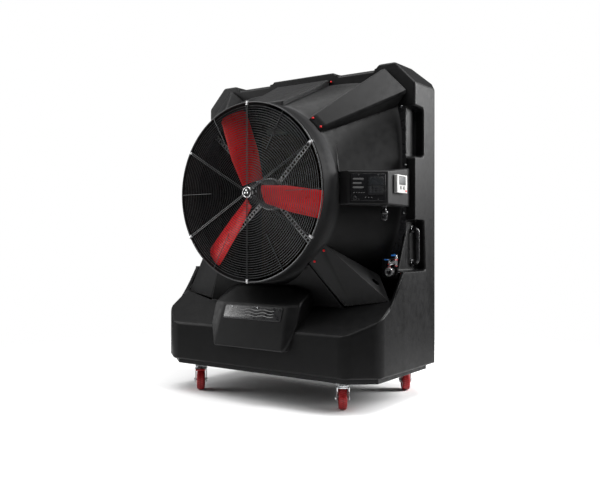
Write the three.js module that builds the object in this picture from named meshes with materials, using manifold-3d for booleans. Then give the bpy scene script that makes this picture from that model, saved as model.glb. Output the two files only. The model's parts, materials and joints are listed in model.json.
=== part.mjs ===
// Portable evaporative cooler: a moulded cabinet with a water tank, an axial fan nearly a metre across
// behind a wire guard, cooling pads at the back, and a steel base frame on four swivel casters.
// Millimetres. X runs to the right, Y to the back and Z up from the floor.

import * as THREE from 'three';
import Module from 'manifold-3d';
import { mergeVertices } from 'three/addons/utils/BufferGeometryUtils.js';
import { ConvexGeometry } from 'three/addons/geometries/ConvexGeometry.js';

const wasm = await Module();
wasm.setup();

// ---- driving dimensions -------------------------------------------------------------------------

const gap = 0.3;                 // left between two pieces that touch
const wall = 9;                  // moulded wall thickness

const halfWidth = 755.7;         // cabinet
const topZ = 1900;
const tankBottomZ = 193;
const plateY = 492;              // front face of the upper cabinet
const sideRearY = 746;           // where the sides turn in towards the back
const rearY = 955;
const rearHalfWidth = 600;
const shoulderX = 632;           // the top corners are cut from here
const shoulderZ = 1773;          // down to here
const rimZ = 410;                // front rim of the tank
const deckSlope = 0.648;         // the deck rises to the back from the rim
const chamferX = 605;            // the tank's front corners are cut from here
const chamferY = 118;            // back to here

const axisZ = 1166;              // fan
const collarR = 501;
const collarFrontY = -28;
const collarRearY = 103;
const fanY = 38;
const bladeCount = 3;
const bladeTipR = 482;
const firstBladeAngle = 110;

const guardR = 494;              // wire guard
const guardY = -34;

const frameTopZ = tankBottomZ - gap;
const frameBottomZ = 163;

const wheelR = 60;               // casters
const wheelWidth = 45;
const casterTrail = 30;
const casterX = 508;
const casterFrontY = 142;
const casterRearY = 848;

// ---- materials ----------------------------------------------------------------------------------

const finish = (color, roughness, metalness) => new THREE.MeshStandardMaterial({ color, roughness, metalness });
const housingBlack = finish(0x2a2a2c, 0.55, 0);
const trimBlack = finish(0x0d0d0e, 0.35, 0);
const frameBlack = finish(0x111112, 0.45, 0.2);
const bladeRed = finish(0xc4161c, 0.35, 0);
const wheelRed = finish(0xc21a20, 0.4, 0);
const zinc = finish(0xb4b6b8, 0.35, 0.9);
const wire = finish(0x9ea0a3, 0.35, 0.9);
const chrome = finish(0xd8d8da, 0.12, 1);
const motorGrey = finish(0x5a5c5e, 0.5, 0.4);
const whitePlastic = finish(0xf0f0ee, 0.4, 0);
const leverBlue = finish(0x2a6fc4, 0.4, 0);
const padBrown = finish(0x8a6a45, 0.9, 0);
const pipeWhite = finish(0xd9d9d4, 0.5, 0);
const badgeSilver = finish(0xc8c8c8, 0.3, 0.8);
const pumpBlack = finish(0x1a1b1e, 0.5, 0);

const cooler = new THREE.Group();

function addPart(name, geometry, material) {
  const mesh = new THREE.Mesh(geometry, material);
  mesh.name = name;
  cooler.add(mesh);
  return mesh;
}

// ---- solids -------------------------------------------------------------------------------------

function toSolid(geometry) {
  const bare = geometry.clone();
  bare.deleteAttribute('normal');
  bare.deleteAttribute('uv');
  const merged = mergeVertices(bare, 1e-3);
  return new wasm.Manifold(new wasm.Mesh({
    numProp: 3,
    vertProperties: new Float32Array(merged.attributes.position.array),
    triVerts: new Uint32Array(merged.index.array),
  }));
}

function toGeometry(solid) {
  const mesh = solid.getMesh();
  const geometry = new THREE.BufferGeometry();
  geometry.setAttribute('position', new THREE.BufferAttribute(new Float32Array(mesh.vertProperties), 3));
  geometry.setIndex(new THREE.BufferAttribute(new Uint32Array(mesh.triVerts), 1));
  return geometry;
}

const join = (...solids) => solids.reduce((total, next) => total.add(next));
const cut = (solid, ...tools) => tools.reduce((total, next) => total.subtract(next), solid);
const mirrored = (points) => points.flatMap(([x, y, z]) => [[x, y, z], [-x, y, z]]);

function outline(points) {
  return new THREE.Shape(points.map(([u, v]) => new THREE.Vector2(u, v)));
}

// An outline drawn in XZ, pushed along Y.
function prismY(shape, fromY, toY, curveSegments = 12) {
  const geometry = new THREE.ExtrudeGeometry(shape, { depth: toY - fromY, bevelEnabled: false, curveSegments });
  geometry.rotateX(Math.PI / 2);
  geometry.translate(0, toY, 0);
  return geometry;
}

// An outline drawn in YZ, pushed along X.
function prismX(shape, fromX, toX, curveSegments = 12) {
  const geometry = new THREE.ExtrudeGeometry(shape, { depth: toX - fromX, bevelEnabled: false, curveSegments });
  geometry.applyMatrix4(new THREE.Matrix4().makeBasis(
    new THREE.Vector3(0, 1, 0), new THREE.Vector3(0, 0, 1), new THREE.Vector3(1, 0, 0)));
  geometry.translate(fromX, 0, 0);
  return geometry;
}

// An outline drawn in XY, pushed along Z.
function prismZ(shape, fromZ, toZ, curveSegments = 12) {
  const geometry = new THREE.ExtrudeGeometry(shape, { depth: toZ - fromZ, bevelEnabled: false, curveSegments });
  geometry.translate(0, 0, fromZ);
  return geometry;
}

function box(x0, x1, y0, y1, z0, z1) {
  const geometry = new THREE.BoxGeometry(x1 - x0, y1 - y0, z1 - z0);
  geometry.translate((x0 + x1) / 2, (y0 + y1) / 2, (z0 + z1) / 2);
  return geometry;
}

// A round bar between two points.
function bar(from, to, radius, sides = 12, endRadius = radius) {
  const start = new THREE.Vector3(...from);
  const end = new THREE.Vector3(...to);
  const along = end.clone().sub(start);
  const geometry = new THREE.CylinderGeometry(endRadius, radius, along.length(), sides);
  geometry.translate(0, along.length() / 2, 0);
  geometry.applyQuaternion(new THREE.Quaternion().setFromUnitVectors(
    new THREE.Vector3(0, 1, 0), along.clone().normalize()));
  geometry.translate(...from);
  return geometry;
}

function hull(points) {
  return new ConvexGeometry(points.map((p) => new THREE.Vector3(...p)));
}

// A turned body whose profile is [radius, position along Y], around the fan's axis.
function turnedOnFanAxis(profile, sides) {
  const geometry = new THREE.LatheGeometry(profile.map(([r, y]) => new THREE.Vector2(r, y)), sides);
  geometry.translate(0, 0, axisZ);
  return geometry;
}

// A band that closes on itself: loops of equal length, each joined to the next and the last to the first.
// Where the loops turn back, every other strip is split along its other diagonal, so both walls bend alike.
function closedBand(loops) {
  const count = loops[0].length;
  const positions = loops.flat(2);
  const index = [];
  loops.forEach((loop, ring) => {
    const next = (ring + 1) % loops.length;
    const turnsBack = ring >= loops.length / 2;
    for (let i = 0; i < count; i += 1) {
      const j = (i + 1) % count;
      const a = ring * count + i;
      const b = ring * count + j;
      const c = next * count + j;
      const d = next * count + i;
      if (turnsBack) index.push(a, b, d, b, c, d);
      else index.push(a, b, c, a, c, d);
    }
  });
  const geometry = new THREE.BufferGeometry();
  geometry.setAttribute('position', new THREE.Float32BufferAttribute(positions, 3));
  geometry.setIndex(index);
  return facingOut(geometry);
}

// Loops of equal length joined one to the next, with both ends closed.
function cappedLoft(loops) {
  const count = loops[0].length;
  const middle = (loop) => [0, 1, 2].map((k) => loop.reduce((sum, p) => sum + p[k], 0) / count);
  const last = loops.length - 1;
  const positions = [...loops.flat(2), ...middle(loops[0]), ...middle(loops[last])];
  const index = [];
  const firstMiddle = loops.length * count;
  for (let i = 0; i < count; i += 1) {
    const j = (i + 1) % count;
    for (let ring = 0; ring < last; ring += 1) {
      const a = ring * count + i;
      const b = ring * count + j;
      index.push(a, b, b + count, a, b + count, a + count);
    }
    index.push(firstMiddle, j, i, firstMiddle + 1, last * count + i, last * count + j);
  }
  const geometry = new THREE.BufferGeometry();
  geometry.setAttribute('position', new THREE.Float32BufferAttribute(positions, 3));
  geometry.setIndex(index);
  return facingOut(geometry);
}

const solidLoft = (loops) => toSolid(cappedLoft(loops));

function signedVolume(geometry) {
  const p = geometry.attributes.position;
  const t = geometry.index;
  const [a, b, c] = [new THREE.Vector3(), new THREE.Vector3(), new THREE.Vector3()];
  let total = 0;
  for (let i = 0; i < t.count; i += 3) {
    a.fromBufferAttribute(p, t.getX(i));
    b.fromBufferAttribute(p, t.getX(i + 1));
    c.fromBufferAttribute(p, t.getX(i + 2));
    total += a.dot(b.cross(c));
  }
  return total;
}

function facingOut(geometry) {
  if (signedVolume(geometry) < 0) {
    const t = geometry.index.array;
    for (let i = 0; i < t.length; i += 3) [t[i + 1], t[i + 2]] = [t[i + 2], t[i + 1]];
  }
  return geometry;
}

// ---- fan shroud: a round collar, then a funnel that opens to a bowed square on the cabinet -------

const shroudSides = 64;
const mouthHalfWidth = 680;
const mouthTop = 652;
const mouthBottom = 690;
const mouthSquareness = { top: 5, bottom: 2.2 };

function mouthRadius(angle) {
  const upper = Math.sin(angle) >= 0;
  const power = upper ? mouthSquareness.top : mouthSquareness.bottom;
  const height = upper ? mouthTop : mouthBottom;
  const across = Math.abs(Math.cos(angle)) / mouthHalfWidth;
  const up = Math.abs(Math.sin(angle)) / height;
  return (across ** power + up ** power) ** (-1 / power);
}

function funnelLoop(share, grow, y, sides = shroudSides) {
  return Array.from({ length: sides }, (_, i) => {
    const angle = (i / sides) * 2 * Math.PI;
    const r = collarR + (mouthRadius(angle) - collarR) * share + grow;
    return [r * Math.cos(angle), y, axisZ + r * Math.sin(angle)];
  });
}

const funnelFrontY = collarRearY + gap;
const funnelRearY = plateY - gap;
const funnelY = (share) => funnelFrontY + (funnelRearY - funnelFrontY) * share;

function funnel() {
  return closedBand([funnelLoop(0, 0, funnelFrontY), funnelLoop(1, 0, funnelRearY),
    funnelLoop(1, -6, funnelRearY), funnelLoop(0, -6, funnelFrontY)]);
}

// The space that the funnel and collar take up, a little larger, for cutting the pieces that sit on them.
function funnelSpace() {
  const beyond = 1.015;
  const barrel = [funnelLoop(0, 0.5, -60), funnelLoop(0, 0.5, funnelFrontY)];
  const flare = [funnelLoop(0, 0.5, funnelFrontY), funnelLoop(beyond, 0.5, funnelY(beyond))];
  return join(solidLoft(barrel), solidLoft(flare));
}

const takenByFunnel = funnelSpace();

function collar() {
  const inner = collarR - 6;
  const profile = [
    [inner, collarFrontY], [collarR, collarFrontY], [collarR, collarRearY], [inner, collarRearY],
    [inner, collarFrontY],
  ];
  return turnedOnFanAxis(profile, shroudSides);
}

addPart('fan_collar', collar(), housingBlack);
addPart('fan_funnel', funnel(), housingBlack);

// ---- cabinet ------------------------------------------------------------------------------------

const deckZ = (y) => rimZ + deckSlope * y;
const pocketBackX = 700;
const wingInnerX = 684;
const lowerPocket = { bottom: 732, top: 1017, rearBottom: 622, rearTop: 603 };
const upperPocket = { bottom: 1362, top: 1644, rear: 600 };
const notch = { inner: 252, outer: 498, bottom: 1879, lip: 1861 };
const centreTop = { half: 222, z: 1891 };
const recess = { floor: 470, ceiling: 724, x: 728, frontMid: 206, frontSide: 262, midX: 480 };
const wing = { lean: 0.8, topZ: 1018, topY: 475, kneeY: 350, kneeZ: 731 };
const apronShape = { footX: 479, topX: 322, top: 770, lean: 0.436, thick: 12 };
const cavityX = 682;
const padOpening = { x: 572, bottom: 320, top: 1640 };

function planOutline() {
  return outline([
    [-chamferX, 0], [chamferX, 0], [halfWidth - 8, chamferY], [halfWidth, 372], [halfWidth, sideRearY],
    [rearHalfWidth, rearY], [-rearHalfWidth, rearY], [-halfWidth, sideRearY], [-halfWidth, 372],
    [-halfWidth + 8, chamferY],
  ]);
}

// The upper cabinet from the front: cut shoulders, two notches and a raised middle along the top.
function frontOutline() {
  const right = [
    [halfWidth, tankBottomZ], [halfWidth, shoulderZ], [shoulderX, topZ], [530, topZ],
    [notch.outer + 12, notch.bottom], [notch.inner - 20, notch.bottom], [centreTop.half, centreTop.z],
  ];
  const left = [...right].reverse().map(([x, z]) => [-x, z]);
  return outline([...right, ...left]);
}

// The tank from the side: front wall, sloping deck, then a floor behind it at the same height.
function tankOutline() {
  return outline([
    [0, tankBottomZ], [rearY, tankBottomZ], [rearY, 600], [plateY, 600], [plateY, deckZ(recess.frontSide)],
    [recess.frontSide, deckZ(recess.frontSide)], [0, rimZ],
  ]);
}

// The side walls sweep up from the deck to the upper cabinet.
function wingSolid(side) {
  const shape = new THREE.Shape();
  shape.moveTo(180, 400);
  shape.lineTo(180, deckZ(180));
  shape.quadraticCurveTo(226, deckZ(226), 275, 625);
  shape.lineTo(wing.kneeY, wing.kneeZ);
  shape.lineTo(wing.topY, wing.topZ);
  shape.lineTo(560, wing.topZ);
  shape.lineTo(560, 400);
  shape.closePath();
  const geometry = prismX(shape, wingInnerX, halfWidth, 4);
  const lean = new THREE.Matrix4().makeShear(wing.lean * -1, 0, 0, 0, 0, 0);
  geometry.translate(-halfWidth, 0, 0);
  geometry.applyMatrix4(lean);
  geometry.translate(halfWidth, 0, 0);
  const solid = toSolid(geometry);
  return side > 0 ? solid : solid.mirror([1, 0, 0]);
}

// The back of the top slopes down to the pads.
function rearSlopeCutter() {
  return toSolid(prismX(outline([[690, topZ + 1], [rearY + 1, 1700], [rearY + 1, topZ + 20], [690, topZ + 20]]),
    -halfWidth - 5, halfWidth + 5));
}

// A leaning apron closes the space between the deck, the funnel and the two lower ribs.
function apron() {
  const { footX, topX, top, lean, thick } = apronShape;
  const foot = deckZ(recess.frontMid) - 14;
  const shape = outline([[-footX, foot], [footX, foot], [topX, top], [-topX, top]]);
  const geometry = prismY(shape, 0, thick);
  geometry.translate(0, 0, -foot);
  geometry.applyMatrix4(new THREE.Matrix4().makeShear(0, 0, 0, 0, 0, -lean));
  geometry.translate(0, recess.frontMid - thick * 0.4, foot);
  return cut(toSolid(geometry), takenByFunnel);
}

function recessCutter() {
  const shape = outline([
    [-recess.midX, recess.frontMid], [recess.midX, recess.frontMid], [recess.x, recess.frontSide],
    [recess.x, plateY], [-recess.x, plateY], [-recess.x, recess.frontSide],
  ]);
  return toSolid(prismZ(shape, recess.floor, recess.ceiling));
}

function notchLipCutters() {
  const lip = outline([[plateY - 1, notch.lip], [plateY, notch.lip], [plateY + 33, notch.bottom + 1],
    [plateY - 1, notch.bottom + 1]]);
  return [1, -1].map((side) => {
    const [from, to] = side > 0 ? [notch.inner, notch.outer] : [-notch.outer, -notch.inner];
    return toSolid(prismX(lip, from, to));
  });
}

function pocketCutters() {
  const lower = outline([[250, lowerPocket.bottom], [lowerPocket.rearBottom, lowerPocket.bottom],
    [lowerPocket.rearTop, lowerPocket.top], [250, lowerPocket.top]]);
  const upper = outline([[plateY - 9, upperPocket.bottom], [upperPocket.rear, upperPocket.bottom + 8],
    [upperPocket.rear, upperPocket.top - 8], [plateY - 9, upperPocket.top]]);
  return [lower, upper].flatMap((shape) => [
    toSolid(prismX(shape, pocketBackX, halfWidth + 9)),
    toSolid(prismX(shape, -halfWidth - 9, -pocketBackX)),
  ]);
}

function tankCavity() {
  const shape = outline([
    [wall, tankBottomZ + wall], [rearY - 40, tankBottomZ + wall], [rearY - 40, recess.floor - wall],
    [recess.frontMid - wall, recess.floor - wall], [recess.frontMid - wall, deckZ(recess.frontMid - wall) - wall],
    [wall, rimZ - wall],
  ]);
  const inner = toSolid(prismX(shape, -halfWidth + 20, halfWidth - 20));
  const inset = new THREE.Matrix4().makeScale(0.982, 0.982, 1);
  const plan = prismZ(planOutline(), 0, 2000);
  plan.translate(0, -440, 0);
  plan.applyMatrix4(inset);
  plan.translate(0, 440, 0);
  return inner.intersect(toSolid(plan));
}

function plenum() {
  const plan = outline([
    [-cavityX, plateY + wall], [cavityX, plateY + wall], [cavityX, sideRearY - 20], [padOpening.x, rearY - 42],
    [padOpening.x, rearY + 5], [-padOpening.x, rearY + 5], [-padOpening.x, rearY - 42],
    [-cavityX, sideRearY - 20],
  ]);
  const sides = outline([
    [plateY - 1, padOpening.bottom], [rearY + 6, padOpening.bottom], [rearY + 6, padOpening.top],
    [760, 1810], [plateY - 1, 1810],
  ]);
  return toSolid(prismZ(plan, 250, 1850)).intersect(toSolid(prismX(sides, -800, 800)));
}

function mouthCutter() {
  return solidLoft([funnelLoop(1, -14, plateY - 5), funnelLoop(1, -14, plateY + wall + 5)]);
}

function cabinet() {
  const upper = toSolid(prismY(frontOutline(), plateY, rearY));
  const tank = toSolid(prismX(tankOutline(), -halfWidth, halfWidth));
  const body = join(cut(tank, recessCutter()), apron(), upper, cut(wingSolid(1), recessCutter()),
    cut(wingSolid(-1), recessCutter()));
  const trimmed = cut(body.intersect(toSolid(prismZ(planOutline(), 0, 2000))), rearSlopeCutter(),
    ...notchLipCutters(), ...pocketCutters());
  return cut(trimmed, tankCavity(), plenum(), mouthCutter());
}

const cabinetSolid = cabinet();
addPart('cabinet', toGeometry(cabinetSolid), housingBlack);

// ---- ribs that brace the shroud -----------------------------------------------------------------

// Only the biggest piece is kept, so that a cut leaves no crumbs.
function biggest(solid) {
  return solid.decompose().reduce((best, piece) => (piece.volume() > best.volume() ? piece : best));
}

// A moulded cover: a convex shell with an open back, its inside pushed through the back by `inward`.
function shell(points, inward, share = 0.9) {
  const middle = [0, 1, 2].map((k) => points.reduce((sum, p) => sum + p[k], 0) / points.length);
  const inner = points.map((p) => p.map((value, k) => middle[k] + (value - middle[k]) * share + inward[k]));
  return cut(toSolid(hull(points)), toSolid(hull(inner)));
}

// A solid made a little larger all round, by joining copies of it moved each way.
function grown(solid, by) {
  const moves = [[by, 0, 0], [-by, 0, 0], [0, by, 0], [0, -by, 0], [0, 0, by], [0, 0, -by]];
  return join(...moves.map((move) => solid.translate(move)));
}

const turnedRib = { frontR: 540, frontHalf: 47.7, frontY: 113, endR: 503, endHalf: 60, endY: 97 };
const ribFoot = { faceR: 903, faceHalf: 105, footR: 800, footHalf: 118, y: plateY - gap };

// The upper ribs run out along the diagonals to the cabinet's cut shoulders.
function upperRib(side) {
  const local = [
    [turnedRib.endR, turnedRib.endHalf, turnedRib.endY], [turnedRib.frontR, turnedRib.frontHalf, turnedRib.frontY],
    [ribFoot.faceR, ribFoot.faceHalf, ribFoot.y], [ribFoot.footR, ribFoot.footHalf, ribFoot.y],
    [620, ribFoot.footHalf, ribFoot.y], [480, turnedRib.endHalf, 130],
  ].flatMap(([r, t, y]) => [[r, t, y], [r, -t, y]]);
  const diagonal = Math.SQRT1_2;
  const points = local.map(([r, t, y]) => [side * (r - t) * diagonal, y, axisZ + (r + t) * diagonal]);
  const solid = shell(points, [-side * 22, 22, -22]);
  return toGeometry(biggest(cut(solid, takenByFunnel)));
}

const deckRib = {
  innerLow: [312, 100, 786], innerHigh: [411, 100, 884], footLow: [489, 213, 547], footHigh: [722, 264, 577],
  funnelHigh: [556, 452, 707], hole: { r: 25, alongToFoot: 0.55, alongToFunnel: 0.3 },
};

// The lower ribs spread down from the collar to the back edge of the deck.
function lowerRib(side) {
  const { innerLow, innerHigh, footLow, footHigh, funnelHigh, hole } = deckRib;
  const points = [
    innerLow, innerHigh, footLow, footHigh, funnelHigh, [532, 236, 500], [722, 285, 505],
    [430, 480, 500], [600, 470, 505],
  ];
  const solid = shell(points, [-18, 26, 14], 0.93);
  const [a, b, c] = [innerHigh, footHigh, funnelHigh].map((p) => new THREE.Vector3(...p));
  const toFoot = b.clone().sub(a);
  const toFunnel = c.clone().sub(a);
  const centre = a.clone().addScaledVector(toFoot, hole.alongToFoot).addScaledVector(toFunnel, hole.alongToFunnel);
  const out = toFunnel.clone().cross(toFoot).normalize();
  const drill = bar(centre.clone().addScaledVector(out, -60).toArray(),
    centre.clone().addScaledVector(out, 60).toArray(), hole.r, 24);
  const placed = cut(solid, toSolid(drill), takenByFunnel, grown(cabinetSolid, gap));
  const rib = biggest(placed);
  return toGeometry(side > 0 ? rib : rib.mirror([1, 0, 0]));
}

// A broad, flat wedge lies along the top of the funnel.
function topRib() {
  const points = mirrored([
    [140, 101, 1677], [140, 101, 1630], [195, plateY - gap, 1855], [195, plateY - gap, 1800],
  ]);
  return toGeometry(biggest(cut(toSolid(hull(points)), takenByFunnel)));
}

addPart('rib_upper_right', upperRib(1), housingBlack);
addPart('rib_upper_left', upperRib(-1), housingBlack);
addPart('rib_lower_right', lowerRib(1), housingBlack);
addPart('rib_lower_left', lowerRib(-1), housingBlack);
addPart('rib_top', topRib(), housingBlack);

// ---- front hood and its plate -------------------------------------------------------------------

const hoodFold = { lowY: -7.5, lowZ: 453, highY: 27.7, highZ: 544 };

function hood() {
  const points = mirrored([
    [244, -43, 306], [231, hoodFold.lowY, hoodFold.lowZ], [231, hoodFold.highY, hoodFold.highZ],
    [194, 125.5, 642], [175, 215, 668], [259, 8, 306], [298, 0, 424], [303, 44, 552], [290, 165, 623],
    [290, 215, 600], [284, 215, 530],
  ]);
  const solid = cut(shell(points, [0, 26, -12], 0.94), takenByFunnel, grown(cabinetSolid, gap));
  return toGeometry(biggest(solid));
}

const plateSize = { width: 404, height: 80, thick: 5 };

function namePlate() {
  const geometry = new THREE.BoxGeometry(plateSize.width, plateSize.thick, plateSize.height);
  const lean = Math.atan2(hoodFold.highY - hoodFold.lowY, hoodFold.highZ - hoodFold.lowZ);
  const stand = plateSize.thick / 2 + gap;
  geometry.rotateX(-lean);
  geometry.translate(0, (hoodFold.lowY + hoodFold.highY) / 2 - stand * Math.cos(lean),
    (hoodFold.lowZ + hoodFold.highZ) / 2 + stand * Math.sin(lean));
  return geometry;
}

addPart('hood', hood(), housingBlack);
addPart('name_plate', namePlate(), trimBlack);

// ---- base frame and casters ---------------------------------------------------------------------

function baseFrame() {
  const edge = (inset) => outline([
    [-590 + inset * 0.4, 34 + inset], [590 - inset * 0.4, 34 + inset], [722 - inset, 140 + inset * 0.4],
    [722 - inset, 700 - inset * 0.4], [585 - inset * 0.5, 935 - inset], [-585 + inset * 0.5, 935 - inset],
    [-722 + inset, 700 - inset * 0.4], [-722 + inset, 140 + inset * 0.4],
  ]);
  const ring = cut(toSolid(prismZ(edge(0), frameBottomZ, frameTopZ)),
    toSolid(prismZ(edge(70), frameBottomZ - 1, frameTopZ + 1)));
  const pads = [casterFrontY, casterRearY].flatMap((y) => [1, -1].map((side) => toSolid(
    box(side * casterX - 70, side * casterX + 70, y - 60, Math.min(y + 60, 930), frameBottomZ, frameTopZ))));
  return toGeometry(join(ring, ...pads));
}

const casterPlate = { x: 105, y: 85, thick: 5 };
const fork = { inner: 29, thick: 5, crownTop: 129, crownBottom: 122.5, crownR: 37, legEnd: 46 };
const axleR = 6;
const atAngle = (degrees) => (geometry, x, y) => {
  geometry.rotateZ(THREE.MathUtils.degToRad(degrees));
  geometry.translate(x, y, 0);
  return geometry;
};

function casterPlateBody(x, y) {
  const top = frameBottomZ - gap;
  const plate = toSolid(box(x - casterPlate.x / 2, x + casterPlate.x / 2, y - casterPlate.y / 2,
    y + casterPlate.y / 2, top - casterPlate.thick, top));
  const race = toSolid(bar([x, y, fork.crownTop + gap + 6], [x, y, top - 1], fork.crownR, 16, fork.crownR - 6));
  const lip = toSolid(bar([x, y, fork.crownTop + gap], [x, y, fork.crownTop + 8], fork.crownR - 5, 16));
  return toGeometry(join(plate, race, lip));
}

function casterFork() {
  const { inner, thick, crownTop, crownBottom, crownR, legEnd } = fork;
  const crown = toSolid(bar([0, 0, crownBottom], [0, 0, crownTop], crownR, 16));
  const side = outline([[-52, crownTop], [28, crownTop], [26, 106], [-casterTrail + 17, legEnd + 8],
    [-casterTrail + 8, legEnd], [-casterTrail - 8, legEnd], [-casterTrail - 17, legEnd + 10], [-40, 104],
    [-52, 117]]);
  const legs = [toSolid(prismX(side, inner, inner + thick)), toSolid(prismX(side, -inner - thick, -inner))];
  const bore = toSolid(bar([-60, -casterTrail, wheelR], [60, -casterTrail, wheelR], axleR + 0.5, 12));
  return toGeometry(cut(join(crown, ...legs), bore));
}

function casterAxle() {
  const end = fork.inner + fork.thick + gap;
  const at = (offset) => [offset, -casterTrail, wheelR];
  return toGeometry(join(toSolid(bar(at(-end - 1), at(end + 1), axleR, 12)),
    toSolid(bar(at(end), at(end + 6), 10, 6)), toSolid(bar(at(-end - 5), at(-end), 10, 12))));
}

function casterWheel() {
  const sides = 24;
  const half = wheelWidth / 2;
  const bore = axleR + 0.4;
  const tread = wheelR / Math.cos(Math.PI / sides);
  const profile = [
    [bore, -half - 2], [18, -half - 2], [20, -half], [tread - 8, -half], [tread, -half + 9], [tread, half - 9],
    [tread - 8, half], [20, half], [18, half + 2], [bore, half + 2], [bore, -half - 2],
  ];
  const geometry = new THREE.LatheGeometry(profile.map(([r, h]) => new THREE.Vector2(r, h)), sides);
  geometry.rotateZ(-Math.PI / 2);
  geometry.rotateX(Math.PI / sides);
  geometry.translate(0, -casterTrail, wheelR);
  return geometry;
}

// A red foot lever hangs between the ears at the back of the fork and presses on the wheel.
function brakePedal() {
  const side = outline([[-42, 121], [-41, 127], [-86, 127], [-93, 131], [-96, 127], [-88, 121]]);
  return prismX(side, 0.5 - fork.inner, fork.inner - 0.5);
}

addPart('base_frame', baseFrame(), frameBlack);
const casters = {
  front_right: { x: casterX, y: casterFrontY, turn: 215.3, brake: true },
  front_left: { x: -casterX, y: casterFrontY, turn: 40, brake: true },
  rear_right: { x: casterX, y: casterRearY, turn: 35.3 },
  rear_left: { x: -casterX, y: casterRearY, turn: 35.3 },
};
Object.entries(casters).forEach(([place, { x, y, turn, brake }]) => {
  const stand = atAngle(turn);
  addPart(`caster_plate_${place}`, casterPlateBody(x, y), zinc);
  addPart(`caster_fork_${place}`, stand(casterFork(), x, y), zinc);
  addPart(`caster_axle_${place}`, stand(casterAxle(), x, y), zinc);
  addPart(`caster_wheel_${place}`, stand(casterWheel(), x, y), wheelRed);
  if (brake) addPart(`brake_pedal_${place}`, stand(brakePedal(), x, y), wheelRed);
});

// ---- wire guard ---------------------------------------------------------------------------------

function guardRing(radius, thickness, steps) {
  const geometry = new THREE.TorusGeometry(radius, thickness, 4, steps);
  geometry.rotateX(Math.PI / 2);
  geometry.translate(0, guardY, axisZ);
  return toSolid(geometry);
}

const guardWires = { ringRadii: [128, 250, 372], thick: 3, rim: 4.5, spokes: 6 };

function fanGuard() {
  const { ringRadii, thick, rim, spokes } = guardWires;
  const rings = ringRadii.map((radius) => guardRing(radius, thick, 36));
  const bars = Array.from({ length: spokes }, (_, i) => {
    const angle = Math.PI / 6 + (i * 2 * Math.PI) / spokes;
    const at = (r) => [r * Math.cos(angle), guardY, axisZ + r * Math.sin(angle)];
    return toSolid(bar(at(10), at(guardR + 9), 3, 5));
  });
  const middle = toSolid(bar([0, guardY - 3, axisZ], [0, guardY + 3, axisZ], 26, 16));
  return toGeometry(join(guardRing(guardR, rim, 54), ...rings, ...bars, middle));
}

const badge = (() => bar([0, guardY - 3.3, axisZ], [0, guardY - 8, axisZ], 30, 32))();

addPart('fan_guard', fanGuard(), wire);
addPart('guard_badge', badge, badgeSilver);

// ---- fan, motor and its mount -------------------------------------------------------------------

const hub = { r: 58, front: fanY - 30, rear: fanY + 30 };
const shaftR = 12;
const motor = { r: 82, front: 120, rear: 290 };

function fanHub() {
  const profile = [[shaftR + 0.4, hub.front], [40, hub.front], [hub.r, hub.front + 14], [hub.r, hub.rear],
    [shaftR + 0.4, hub.rear], [shaftR + 0.4, hub.front]];
  return turnedOnFanAxis(profile, 24);
}

// A cambered blade, pitched more steeply at the root than at the tip.
function fanBlade(index) {
  const stations = 7;
  const across = 6;
  const loops = [];
  for (let s = 0; s < stations; s += 1) {
    const share = s / (stations - 1);
    const r = hub.r + 3 + (bladeTipR - hub.r - 3) * share;
    const halfChord = 60 + 20 * Math.min(1, share * 2.5);
    const pitch = THREE.MathUtils.degToRad(34 - 16 * share);
    const thick = 4.5 - 1.5 * share;
    const top = [];
    const under = [];
    for (let k = 0; k <= across; k += 1) {
      const u = (k / across) * 2 - 1;
      const rise = 12 * (1 - u * u);
      const edge = thick * (0.35 + 0.65 * (1 - u * u));
      const place = (lift) => {
        const t = u * halfChord * Math.cos(pitch) + lift * Math.sin(pitch);
        const y = fanY + u * halfChord * Math.sin(pitch) - lift * Math.cos(pitch);
        return [t, y, r];
      };
      top.push(place(rise + edge));
      under.unshift(place(rise - edge));
    }
    loops.push([...top, ...under]);
  }
  const geometry = cappedLoft(loops);
  const angle = THREE.MathUtils.degToRad(firstBladeAngle + (index * 360) / bladeCount);
  geometry.rotateY(-(angle - Math.PI / 2));
  geometry.translate(0, 0, axisZ);
  return geometry;
}

function motorBody() {
  const profile = [[0, motor.front], [30, motor.front], [34, motor.front + 6], [70, motor.front + 6],
    [motor.r, motor.front + 20], [motor.r, motor.rear - 20], [66, motor.rear], [0, motor.rear]];
  return turnedOnFanAxis(profile, 24);
}

// A clamp ring round the motor and four flat arms to the inside of the funnel.
function motorMount() {
  const ringFront = 165;
  const ringRear = 205;
  const ring = cut(toSolid(bar([0, ringFront, axisZ], [0, ringRear, axisZ], motor.r + 10, 24)),
    toSolid(bar([0, ringFront - 1, axisZ], [0, ringRear + 1, axisZ], motor.r + 2, 24)));
  const armAngles = [45, 139, 221, 315];
  const arms = armAngles.map((degrees) => {
    const angle = THREE.MathUtils.degToRad(degrees);
    const shape = box(motor.r + 6, 800, ringFront + 4, ringFront + 10, -27, 27);
    shape.rotateY(-angle);
    shape.translate(0, 0, axisZ);
    return toSolid(shape);
  });
  const y = ringFront - 20;
  const share = (y - funnelFrontY) / (funnelRearY - funnelFrontY);
  const limit = solidLoft([funnelLoop(share, -8, y), funnelLoop(share, -8, ringRear + 20)]);
  return toGeometry(join(ring, ...arms).intersect(limit));
}

addPart('fan_hub', fanHub(), trimBlack);
for (let i = 0; i < bladeCount; i += 1) addPart(`fan_blade_${i + 1}`, fanBlade(i), bladeRed);
addPart('fan_shaft', bar([0, hub.front - 4, axisZ], [0, motor.front - gap, axisZ], shaftR, 20), zinc);
addPart('fan_motor', motorBody(), motorGrey);
addPart('motor_mount', motorMount(), zinc);

// ---- control box --------------------------------------------------------------------------------

const boxBottomZ = 1089;
const boxTopZ = 1265;
const boxPlan = { innerX: 497, innerY: 112, leftX: 567, leftY: 95, rightX: 733, rightY: 227, rearX: 725 };

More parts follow.
